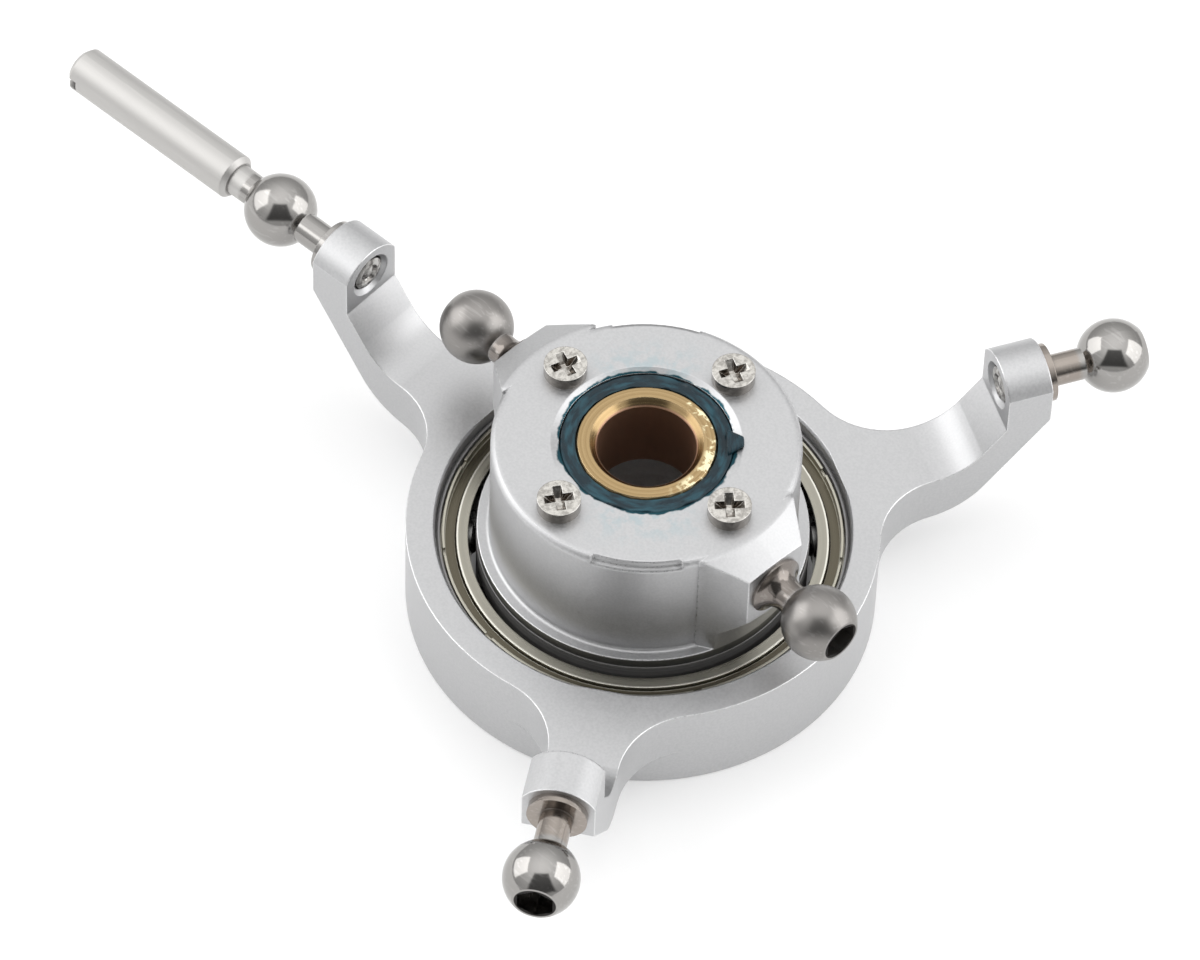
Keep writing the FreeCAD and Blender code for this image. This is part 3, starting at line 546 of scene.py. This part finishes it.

# %% [markdown]
# ## Bearing steel and its shields
#
# The races are ground, so they keep fine rings, and a film of oil dulls them. The shields are
# thin pressed sheet: their raised band is rubbed pale, the dished band keeps an olive film of
# oil, and the rolled rim is bright again; these depend on the distance from the bearing's axis.
# A narrow ring at the raised band's outer shoulder is painted pale as a highlight, and the
# edges are painted lighter as a highlight too.

# %% Bearing steel
material, tree, shader = new_finish("ground_bearing_steel", 0.55, 0.45, (0.56, 0.56, 0.55, 1))
marks = use_group(tree, turning_marks,
                  {"Position": own_place(tree), "Rings per metre": 9000.0})["Height"]
edge = use_group(tree, edge_round_and_highlight, {"Width": 0.05 * MM})
colour = blend_colours(tree, between(tree, marks, 0.35, 0.65),
                       (0.25, 0.245, 0.245, 1), (0.36, 0.355, 0.35, 1))
link_surface(tree, shader, colour, between(tree, marks, 0.3, 0.7, 0.38, 0.52),
             {"Strength": 0.3, "Distance": 0.003 * MM, "Height": marks,
              "Normal": edge["Normal"]})
dress(material, "bearing_inner_race", "bearing_outer_race")

# %% Balls and cage, painted dark as oil and as shade
# The balls and cage are painted dark, partly as oil and partly as the shade of the narrow gap
# they are seen through.
material, tree, shader = new_finish("oiled_and_shaded_bearing_steel", 1.0, 0.3, (0.10, 0.10, 0.10, 1))
grain = use_group(tree, blasted_grain, {"Dents per metre": 4000.0})
colour = blend_colours(tree, between(tree, grain["Mottle"], 0.3, 0.7),
                       (0.16, 0.16, 0.155, 1), (0.26, 0.26, 0.25, 1))
link_surface(tree, shader, colour, between(tree, grain["Mottle"], 0.3, 0.7, 0.25, 0.4),
             {"Strength": 0.3, "Distance": 0.003 * MM, "Height": grain["Height"]})
dress(material, "bearing_balls", "cage_upper_half", "cage_lower_half", "cage_rivets")

# %% Shield steel
dish_starts = 9.42 * MM, 9.50 * MM
rim_starts = 9.96 * MM, 10.02 * MM
shoulder_highlight_starts = 9.30 * MM, 9.36 * MM
shoulder_highlight_ends = 9.46 * MM, 9.42 * MM
material, tree, shader = new_finish("pressed_shield_steel", 1.0, 0.3, (0.55, 0.54, 0.46, 1))
spot = own_place(tree)
reach = axis_reach(tree, spot)
marks = use_group(tree, turning_marks, {"Position": spot, "Rings per metre": 6000.0})["Height"]
edge = use_group(tree, edge_round_and_highlight, {"Width": 0.06 * MM})
shoulder_highlight = product(tree, between(tree, reach, *shoulder_highlight_starts),
                   between(tree, reach, *shoulder_highlight_ends))
colour = blend_colours(tree, between(tree, reach, *dish_starts),
                       (0.35, 0.335, 0.285, 1), (0.118, 0.106, 0.078, 1))
colour = blend_colours(tree, between(tree, reach, *rim_starts), colour, (0.46, 0.44, 0.37, 1))
# Painted highlight: a narrow pale ring at the raised band's outer shoulder.
colour = blend_colours(tree, shoulder_highlight, colour, (0.80, 0.78, 0.70, 1))
# Painted highlight along the edges.
colour = blend_colours(tree, maths(tree, "MULTIPLY", edge["Mask"], 0.5), colour,
                       (0.85, 0.84, 0.76, 1))
link_surface(tree, shader, colour, between(tree, marks, 0.3, 0.7, 0.24, 0.38),
             {"Strength": 0.3, "Distance": 0.003 * MM, "Height": marks,
              "Normal": edge["Normal"]})
dress(material, "upper_shield", "lower_shield")

# %% [markdown]
# ## Brass
#
# The pivot ball is turned brass. Its flat end is pale gold where it was faced, the bore is
# browned and dulled by oil, and one side of the rim is rubbed and scratched bright.

# %% Wear on the brass
material, tree, shader = new_finish("turned_brass", 1.0, 0.25, (0.58, 0.46, 0.26, 1))
bore_wall = 2.62 * MM, 2.52 * MM
rim_band = 2.85 * MM, 3.1 * MM
worn_band = 0.9 * MM, 2.4 * MM
spot = own_place(tree)
reach = axis_reach(tree, spot)
bore = between(tree, reach, *bore_wall)
sideways = vector_maths(tree, "DOT_PRODUCT", spot, tuple(level_right))["Value"]
scratches = use_group(tree, fine_scratches, {"Streaks per metre": 6000.0})["Mask"]
gouges = between(tree, noise(tree, spot, 2600.0, 4.0), 0.50, 0.60)
rubbed = product(tree, between(tree, sideways, *worn_band), between(tree, reach, *rim_band),
                 maths(tree, "MAXIMUM", scratches, gouges))
print("brass wear ready")

# %% Brass
marks = use_group(tree, turning_marks, {"Position": spot, "Rings per metre": 8000.0})["Height"]
edge = use_group(tree, edge_round_and_highlight, {"Width": 0.06 * MM})
colour = blend_colours(tree, between(tree, marks, 0.35, 0.65),
                       (0.345, 0.24, 0.118, 1), (0.435, 0.31, 0.16, 1))
colour = blend_colours(tree, rubbed, colour, (0.97, 0.88, 0.58, 1))
colour = blend_colours(tree, bore, colour, (0.42, 0.255, 0.17, 1))
# Painted highlight: the colour along the edges is painted lighter.
colour = blend_colours(tree, maths(tree, "MULTIPLY", edge["Mask"], 0.6), colour,
                       (0.70, 0.58, 0.38, 1))
rough = maths(tree, "MAXIMUM", between(tree, marks, 0.3, 0.7, 0.18, 0.32),
              maths(tree, "MULTIPLY", bore, 0.5))
link_surface(tree, shader, colour, rough,
             {"Strength": 0.3, "Distance": 0.003 * MM, "Height": marks,
              "Normal": edge["Normal"]})
dress(material, "pivot_ball")

# %% [markdown]
# ## Nickel-plated screws and the seats
#
# The four screws are nickel plated: bright and slightly warm. Their flanks are painted darker
# as shade, the cross recess and the foot are painted dark, partly as a film of oil and partly
# as shade, and the edges are painted lighter as a highlight. The seats are dark moulded
# plastic, and hardly show under the grease.

# %% Nickel
material, tree, shader = new_finish("nickel_plate", 1.0, 0.2, (0.78, 0.74, 0.67, 1))
dirt_and_shade = use_group(tree, recess_dirt_and_shade, {"Depth": 0.45 * MM})["Mask"]
edge = use_group(tree, edge_round_and_highlight, {"Width": 0.06 * MM})
mottle = use_group(tree, blasted_grain, {"Dents per metre": 6500.0})["Mottle"]
own_normal = add_node(tree, "ShaderNodeTexCoord").outputs["Normal"]
levelness = maths(tree, "ABSOLUTE", split(tree, own_normal)["Z"])
# Painted shade: the steep flanks of the heads are painted darker.
shaded_flank = between(tree, levelness, 0.25, 0.75, 0.75, 0.0)
colour = blend_colours(tree, between(tree, mottle, 0.35, 0.65),
                       (0.37, 0.355, 0.33, 1), (0.62, 0.60, 0.56, 1))
colour = blend_colours(tree, shaded_flank, colour, (0.17, 0.155, 0.14, 1))
# The recesses are painted dark, partly as oil and partly as painted shade.
colour = blend_colours(tree, maths(tree, "MULTIPLY", dirt_and_shade, 0.6), colour,
                       (0.16, 0.11, 0.075, 1))
# Painted highlight along the edges.
colour = blend_colours(tree, maths(tree, "MULTIPLY", edge["Mask"], 0.5), colour,
                       (0.96, 0.95, 0.92, 1))
link_surface(tree, shader, colour, between(tree, mottle, 0.3, 0.7, 0.12, 0.24),
             {"Strength": 0.5, "Distance": 0.012 * MM, "Height": mottle,
              "Normal": edge["Normal"]})
dress(material, "hub_screws")

# %% Seat plastic
material, tree, shader = new_finish("dark_seat_plastic", 0.0, 0.4, (0.05, 0.06, 0.065, 1))
grain = use_group(tree, blasted_grain, {"Dents per metre": 6000.0})
colour = blend_colours(tree, between(tree, grain["Mottle"], 0.3, 0.7),
                       (0.035, 0.045, 0.05, 1), (0.07, 0.08, 0.085, 1))
link_surface(tree, shader, colour, between(tree, grain["Mottle"], 0.3, 0.7, 0.3, 0.5),
             {"Strength": 0.3, "Distance": 0.004 * MM, "Height": grain["Height"]})
dress(material, "upper_ball_seat", "lower_ball_seat")

# %% [markdown]
# ## Helpers for shapes
#
# Two jobs come back in every shape below. One picks faces by a test and leaves the piece
# in edit mode, ready to work on them. The other adds a modifier, sets it and applies it.

# %% Shape helpers
def edit_faces(piece, wanted):
    """Select just the faces that pass a test, and stay in edit mode."""
    bpy.ops.object.mode_set(mode="EDIT")
    bpy.ops.mesh.select_mode(type="FACE")
    bpy.ops.mesh.select_all(action="DESELECT")
    bpy.ops.object.mode_set(mode="OBJECT")
    for face in piece.data.polygons:
        face.select = wanted(face)
    bpy.ops.object.mode_set(mode="EDIT")


def apply_modifier(piece, name, kind, **settings):
    """Add a modifier to a piece, set it and apply it."""
    modifier = piece.modifiers.new(name, kind)
    for setting, value in settings.items():
        setattr(modifier, setting, value)
    bpy.context.view_layer.objects.active = piece
    bpy.ops.object.modifier_apply(modifier=name)


# %% [markdown]
# ## Cross-head screws
#
# The frame has plain screws with a straight cross. A real recess tapers as it goes down,
# where a driver has worn it, so new heads are made. Each is a short drum. The shank inside
# the hub is never seen and is left out; a second drum marks its end in the retainer.

# %% One screw
screw_low, screw_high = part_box("hub_screws")
screw_top, screw_end = screw_high.z, screw_low.z
head_radius, head_height = 1.1 * MM, 0.7 * MM
bpy.ops.object.select_all(action="DESELECT")
bpy.ops.mesh.primitive_cylinder_add(vertices=72, radius=head_radius, depth=head_height,
                                    location=(0, 0, screw_top - head_height / 2))
screw = bpy.context.object
bpy.ops.object.transform_apply()
shank_length = screw_top - head_height - screw_end
bpy.ops.object.mode_set(mode="EDIT")
bpy.ops.mesh.select_all(action="SELECT")
bpy.ops.mesh.extrude_region_move(TRANSFORM_OT_translate={"value": (0, 0, -shank_length)})
bpy.ops.object.mode_set(mode="OBJECT")
print("screw blank:", len(screw.data.polygons), "faces")

# %% [markdown]
# ## The tapered crosses
#
# A blade is a block whose foot is made smaller than its top. Two blades, crossed, are cut
# out of each head with a Boolean modifier. Every screw stopped at a turn of its own when it
# was tightened, so each cross is turned differently.

# %% Tapered blade
def tapered_blade(turn):
    """A cutter for two arms of the cross."""
    bpy.ops.object.select_all(action="DESELECT")
    bpy.ops.mesh.primitive_cube_add(size=1.0, location=(0, 0, screw_top - 0.20 * MM),
                                    scale=(1.66 * MM, 0.50 * MM, 0.56 * MM))
    blade = bpy.context.object
    bpy.ops.object.transform_apply()
    edit_faces(blade, lambda face: face.normal.z < -0.9)
    bpy.ops.transform.resize(value=(0.40, 0.55, 1))
    bpy.ops.object.mode_set(mode="OBJECT")
    blade.rotation_euler.z = turn
    bpy.ops.object.transform_apply()
    return blade


# %% Four screws
screw_circle = 5.95 * MM
cross_turns = 5, 22, 28, 12
crosses = []
for order, cross_turn in enumerate(cross_turns):
    copy = screw.copy()
    copy.data = screw.data.copy()
    bpy.context.scene.collection.objects.link(copy)
    for quarter in (0, 90):
        blade = tapered_blade(round_from_front + math.radians(cross_turn + quarter))
        bpy.ops.object.select_all(action="DESELECT")
        apply_modifier(copy, "cross", "BOOLEAN", object=blade, operation="DIFFERENCE")
        bpy.data.objects.remove(blade)
    clock = math.radians(hub_clocking + 90 * order)
    copy.location = (screw_circle * math.cos(clock), screw_circle * math.sin(clock), 0)
    crosses.append(copy)
print("crosses cut:", len(crosses))

# %% Join the screws
bpy.data.objects.remove(screw)
bpy.ops.object.select_all(action="DESELECT")
for copy in crosses:
    copy.select_set(True)
bpy.context.view_layer.objects.active = crosses[0]
bpy.ops.object.transform_apply()
bpy.ops.object.join()
screws = crosses[0]
screws.name = screws.data.name = "cross_head_screws"
bpy.ops.object.shade_smooth_by_angle(angle=math.radians(35))
screws.data.materials.clear()
screws.data.materials.append(bpy.data.materials["nickel_plate"])
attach(screws, "hub")
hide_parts("hub_screws")
print("screws:", len(screws.data.polygons), "faces")

# %% [markdown]
# ## Stud tips in the arms
#
# Each arm's hole shows the end of its stud, staked so that it cannot turn. A short drum is
# rounded at its rim, its face is inset and pushed in where the lathe centre stood, and the
# whole is dented a little with a displacement.

# %% Staked steel
staked_steel, tree, shader = new_finish("staked_steel", 1.0, 0.3, (0.45, 0.44, 0.42, 1))
mottle = use_group(tree, blasted_grain, {"Dents per metre": 4000.0})["Mottle"]
colour = blend_colours(tree, between(tree, mottle, 0.4, 0.6),
                       (0.20, 0.19, 0.18, 1), (0.55, 0.54, 0.52, 1))
link_surface(tree, shader, colour, between(tree, mottle, 0.3, 0.7, 0.2, 0.4),
             {"Strength": 0.7, "Distance": 0.05 * MM, "Height": mottle})
print(staked_steel.name, "ready")


# %% Stud tips
def stud_tip(name, clock_degrees):
    """The staked end of one ball stud, seen inside an arm's countersink."""
    bpy.ops.object.select_all(action="DESELECT")
    bpy.ops.mesh.primitive_cylinder_add(vertices=48, radius=0.93 * MM, depth=0.34 * MM)
    tip = bpy.context.object
    tip.name = tip.data.name = name
    edit_faces(tip, lambda face: face.normal.z < -0.9)
    bpy.ops.mesh.inset(thickness=0.16 * MM, depth=0.07 * MM)
    bpy.ops.mesh.inset(thickness=0.20 * MM)
    bpy.ops.mesh.inset(thickness=0.14 * MM, depth=-0.14 * MM)
    bpy.ops.mesh.inset(thickness=0.18 * MM, depth=0.08 * MM)
    bpy.ops.object.mode_set(mode="OBJECT")
    clock = Matrix.Rotation(math.radians(clock_degrees), 4, "Z")
    out_to_arm = Matrix.Translation((19.02 * MM, 0, 0))
    tip.matrix_world = clock @ out_to_arm @ Matrix.Rotation(math.pi / 2, 4, "Y")
    bpy.ops.object.transform_apply()
    apply_modifier(tip, "dents", "DISPLACE", texture=tip_dents, strength=0.05 * MM,
                   mid_level=0.7)
    bpy.ops.object.shade_smooth_by_angle(angle=math.radians(40))
    tip.data.materials.append(staked_steel)
    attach(tip, "plate")
    return tip


tip_dents = bpy.data.textures.new("tip_dents", "CLOUDS")
tip_dents.noise_scale = 0.35 * MM
for name, clock_degrees in (("right_stud_tip", -60), ("left_stud_tip", 60),
                            ("rear_stud_tip", 180)):
    print(stud_tip(name, clock_degrees).name, "made")

# %% [markdown]
# ## Grease round the pivot ball
#
# Blue-green grease fills the groove between the ball and the hub's mouth. It could be a
# plain torus, but it really takes the shape of what holds it: the ball's curve inside and
# the straight mouth outside. So its section is drawn as a few rings, each extruded from the
# last and resized.

# %% Ring helper
def ring_from_section(name, section, segments):
    """A closed ring about the shaft's axis, from points (radius, height) in millimetres."""
    radius, height = section[0]
    bpy.ops.object.select_all(action="DESELECT")
    bpy.ops.mesh.primitive_circle_add(vertices=segments, radius=radius * MM,
                                      location=(0, 0, height * MM))
    ring = bpy.context.object
    ring.name = ring.data.name = name
    bpy.ops.object.transform_apply()
    bpy.ops.object.mode_set(mode="EDIT")
    for next_radius, next_height in section[1:] + section[:1]:
        bpy.ops.mesh.extrude_edges_move(
            TRANSFORM_OT_translate={"value": (0, 0, (next_height - height) * MM)})
        bpy.ops.transform.resize(value=(next_radius / radius, next_radius / radius, 1),
                                 center_override=(0, 0, 0))
        radius, height = next_radius, next_height
    bpy.ops.mesh.select_all(action="SELECT")
    bpy.ops.mesh.remove_doubles(threshold=0.001 * MM)
    bpy.ops.mesh.normals_make_consistent(inside=False)
    bpy.ops.object.mode_set(mode="OBJECT")
    return ring


# %% Grease ring
ball_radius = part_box("pivot_ball")[1].x / MM
mouth_radius = 4.37
clearance = 0.03


def beside_ball(height):
    """How near the grease may come to the ball's axis at a height."""
    return math.sqrt((ball_radius + clearance) ** 2 - height ** 2)


against_mouth = mouth_radius - clearance
section = [(beside_ball(2.42), 2.42), (3.58, 2.50), (3.70, 2.47), (3.82, 2.44),
           (3.94, 2.44), (4.06, 2.47), (4.18, 2.52), (4.28, 2.50),
           (against_mouth, 2.38), (against_mouth, 1.95),
           (beside_ball(1.95), 1.95), (beside_ball(2.2), 2.2)]
grease = ring_from_section("grease_ring", section, 240)
print("grease section:", len(section), "points")

# %% [markdown]
# ## Lumpy grease
#
# Only the open top is uneven, as the sides take the shape of what they touch. So the top's
# points go in a vertex group, a cloud texture moves just those up and down, and one
# subdivision rounds the lumps off.

# %% Lumps
top = grease.vertex_groups.new(name="top")
free = [vertex.index for vertex in grease.data.vertices
        if vertex.co.z > 2.44 * MM and 3.55 * MM < vertex.co.xy.length < 4.3 * MM]
top.add(free, 1.0, "REPLACE")
lumps = bpy.data.textures.new("grease_lumps", "CLOUDS")
lumps.noise_scale = 0.7 * MM
lumps.noise_depth = 3
apply_modifier(grease, "roughen", "DISPLACE", texture=lumps, vertex_group="top",
               direction="Z", strength=0.34 * MM, mid_level=0.62)
apply_modifier(grease, "round_off", "SUBSURF", levels=1, render_levels=1)
bpy.ops.object.shade_smooth()
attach(grease, "hub")
print("grease ring:", len(grease.data.polygons), "faces")

# %% [markdown]
# ## A peak of grease
#
# Where the ball was last wiped, the grease was drawn up into a small peak that lies over
# the mouth's edge. A blunt cone is the start. It is cut into rings, smoothed until it is
# a mound, flattened, and laid down pointing outward.

# %% Grease peak
bpy.ops.object.select_all(action="DESELECT")
bpy.ops.mesh.primitive_cone_add(vertices=24, radius1=0.95 * MM, radius2=0.15 * MM,
                                depth=1.25 * MM)
peak = bpy.context.object
peak.name = peak.data.name = "grease_peak"
bpy.ops.object.mode_set(mode="EDIT")
bpy.ops.mesh.select_all(action="SELECT")
bpy.ops.mesh.subdivide(number_cuts=5)
bpy.ops.mesh.vertices_smooth(factor=0.5, repeat=9)
bpy.ops.transform.resize(value=(1.0, 0.48, 1.0))
bpy.ops.object.mode_set(mode="OBJECT")
peak_turn = round_from_front + math.radians(2)
peak_reach, peak_height = 4.42 * MM, 2.56 * MM
pointing = Matrix.Rotation(peak_turn, 4, "Z")
lying = Matrix.Rotation(math.radians(80), 4, "Y") @ Matrix.Rotation(math.radians(90), 4, "Z")
peak.matrix_world = pointing @ Matrix.Translation((peak_reach, 0, peak_height)) @ lying
bpy.ops.object.transform_apply()
apply_modifier(peak, "creases", "DISPLACE", texture=lumps, strength=0.08 * MM)
apply_modifier(peak, "round_off", "SUBSURF", levels=2, render_levels=2)
bpy.ops.object.shade_smooth()
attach(peak, "hub")
print("grease peak:", len(peak.data.polygons), "faces")

# %% [markdown]
# ## Grease
#
# Grease is dark, wet and slightly streaky. It is no metal: a low roughness gives the wet
# shine, and noise that is stretched the way a finger wipes, round the shaft, varies its
# colour from near black to teal.

# %% Grease finish
material, tree, shader = new_finish("blue_grease", 0.0, 0.3, (0.03, 0.10, 0.14, 1))
shader.inputs["Specular IOR Level"].default_value = 0.3
spot = own_place(tree)
around = vector_maths(tree, "NORMALIZE", level_part(tree, spot))["Vector"]
around = split(tree, around)
streaks_round, streaks_outward = 2.6, 2600.0
wiped = add_node(tree, "ShaderNodeCombineXYZ",
                 {"X": maths(tree, "MULTIPLY", around["X"], streaks_round),
                  "Y": maths(tree, "MULTIPLY", around["Y"], streaks_round),
                  "Z": maths(tree, "MULTIPLY", axis_reach(tree, spot), streaks_outward)})
streaks = noise(tree, wiped.outputs[0], 1.3, 3.0)
colour = blend_colours(tree, between(tree, streaks, 0.40, 0.72),
                       (0.007, 0.021, 0.030, 1), (0.021, 0.075, 0.100, 1))
link_surface(tree, shader, colour, between(tree, streaks, 0.3, 0.7, 0.2, 0.42),
             {"Strength": 0.7, "Distance": 0.07 * MM, "Height": streaks})
for piece in (grease, peak):
    piece.data.materials.append(material)
print(material.name, "on the grease")

# %% [markdown]
# ## Floor
#
# Small metal parts are shot in a light tent: white all round, brightest above. The floor
# is pale and matt and only keeps a soft shadow. A little of its white is its own glow, seen
# straight on and in the metal; there is none under the part, where the bore has to be dark.

# %% Floor
lowest = cad_box[0][2]
bpy.ops.object.select_all(action="DESELECT")
bpy.ops.mesh.primitive_plane_add(size=3.0, location=(0, 0, lowest))
floor = bpy.context.object
floor.name = floor.data.name = "floor"
bpy.ops.object.transform_apply()
paper, tree, shader = new_finish("white_paper", 0.0, 0.9, (0.68, 0.68, 0.68, 1))
shader.inputs["Specular IOR Level"].default_value = 0.1
shader.inputs["Emission Color"].default_value = (1, 1, 1, 1)
ray = add_node(tree, "ShaderNodeLightPath").outputs
seen = maths(tree, "MAXIMUM", ray["Is Camera Ray"], ray["Is Glossy Ray"])
seen = maths(tree, "MAXIMUM", seen, ray["Is Transmission Ray"])
under_part = 7 * MM, 12 * MM
glow = 0.34
open_floor = between(tree, axis_reach(tree, own_place(tree)), *under_part, 0.0, glow)
tree.links.new(maths(tree, "MULTIPLY", seen, open_floor), shader.inputs["Emission Strength"])
floor.data.materials.append(paper)
print("floor at", round(lowest / MM, 2), "mm")

# %% [markdown]
# ## Sky
#
# The sky is the tent: brightest overhead, with one dark opening where the camera looks in.
# Polished metal shows exactly what stands round it, so that opening gives the balls their
# depth. Its shape is a tapered window, found from how far a direction lies across and up
# from the opening's middle.

# %% Sky
sky = bpy.data.worlds.new("light_tent")
bpy.context.scene.world = sky
sky.use_nodes = True
tree = sky.node_tree
direction = add_node(tree, "ShaderNodeTexCoord").outputs["Generated"]
rise = split(tree, direction)["Z"]
overhead = maths(tree, "POWER", maths(tree, "MAXIMUM", rise, 0.0), 2.0)
tent = maths(tree, "MULTIPLY_ADD", overhead, 1.00, 0.64)

opening_way = (backward - Vector((0, 0, 0.24))).normalized()
opening_up = opening_way.cross(level_right)
toward, across, rising = (
    vector_maths(tree, "DOT_PRODUCT", direction, tuple(way))["Value"]
    for way in (opening_way, level_right, opening_up))
half_height = 0.44
half_width = maths(tree, "MULTIPLY_ADD", rising, -0.38, 0.52)
sideways = maths(tree, "DIVIDE", maths(tree, "ABSOLUTE", across), half_width)
upwards = maths(tree, "DIVIDE", maths(tree, "ABSOLUTE", rising), half_height)
opening = between(tree, maths(tree, "MAXIMUM", sideways, upwards), 1.12, 0.88)
opening = maths(tree, "MULTIPLY", opening, maths(tree, "GREATER_THAN", toward, 0.0))
darkness = 0.86
light_left = maths(tree, "MULTIPLY_ADD", opening, -darkness, 1.0)
background = tree.nodes["Background"].inputs
tree.links.new(maths(tree, "MULTIPLY", tent, light_left), background["Strength"])
background["Color"].default_value = (1, 1, 1, 1)
print("sky set")

# %% [markdown]
# ## Lamps
#
# Two large square lamps stand left and right of the part. They are soft boxes: wide for
# their distance, so every edge and ball carries a broad, soft highlight.

# %% Lamps
def softbox(name, side, back, height, size, power):
    """A square lamp aimed at the part, placed by its side, depth and height."""
    lamp = bpy.data.lights.new(name, "AREA")
    lamp.size = size
    lamp.energy = power
    holder = bpy.data.objects.new(name, lamp)
    bpy.context.scene.collection.objects.link(holder)
    holder.location = level_right * side + away * back + Vector((0, 0, height))
    holder.rotation_euler = holder.location.to_track_quat("Z", "Y").to_euler()


softbox("left_softbox", side=-0.42, back=0.10, height=0.24, size=0.42, power=0.95)
softbox("right_softbox", side=0.43, back=-0.02, height=0.20, size=0.42, power=1.00)
print("lamps set")

# %% [markdown]
# ## View and finish
#
# The plain Standard view shows a colour as it was written.

# %% View and finish
bpy.context.scene.view_settings.view_transform = "Standard"
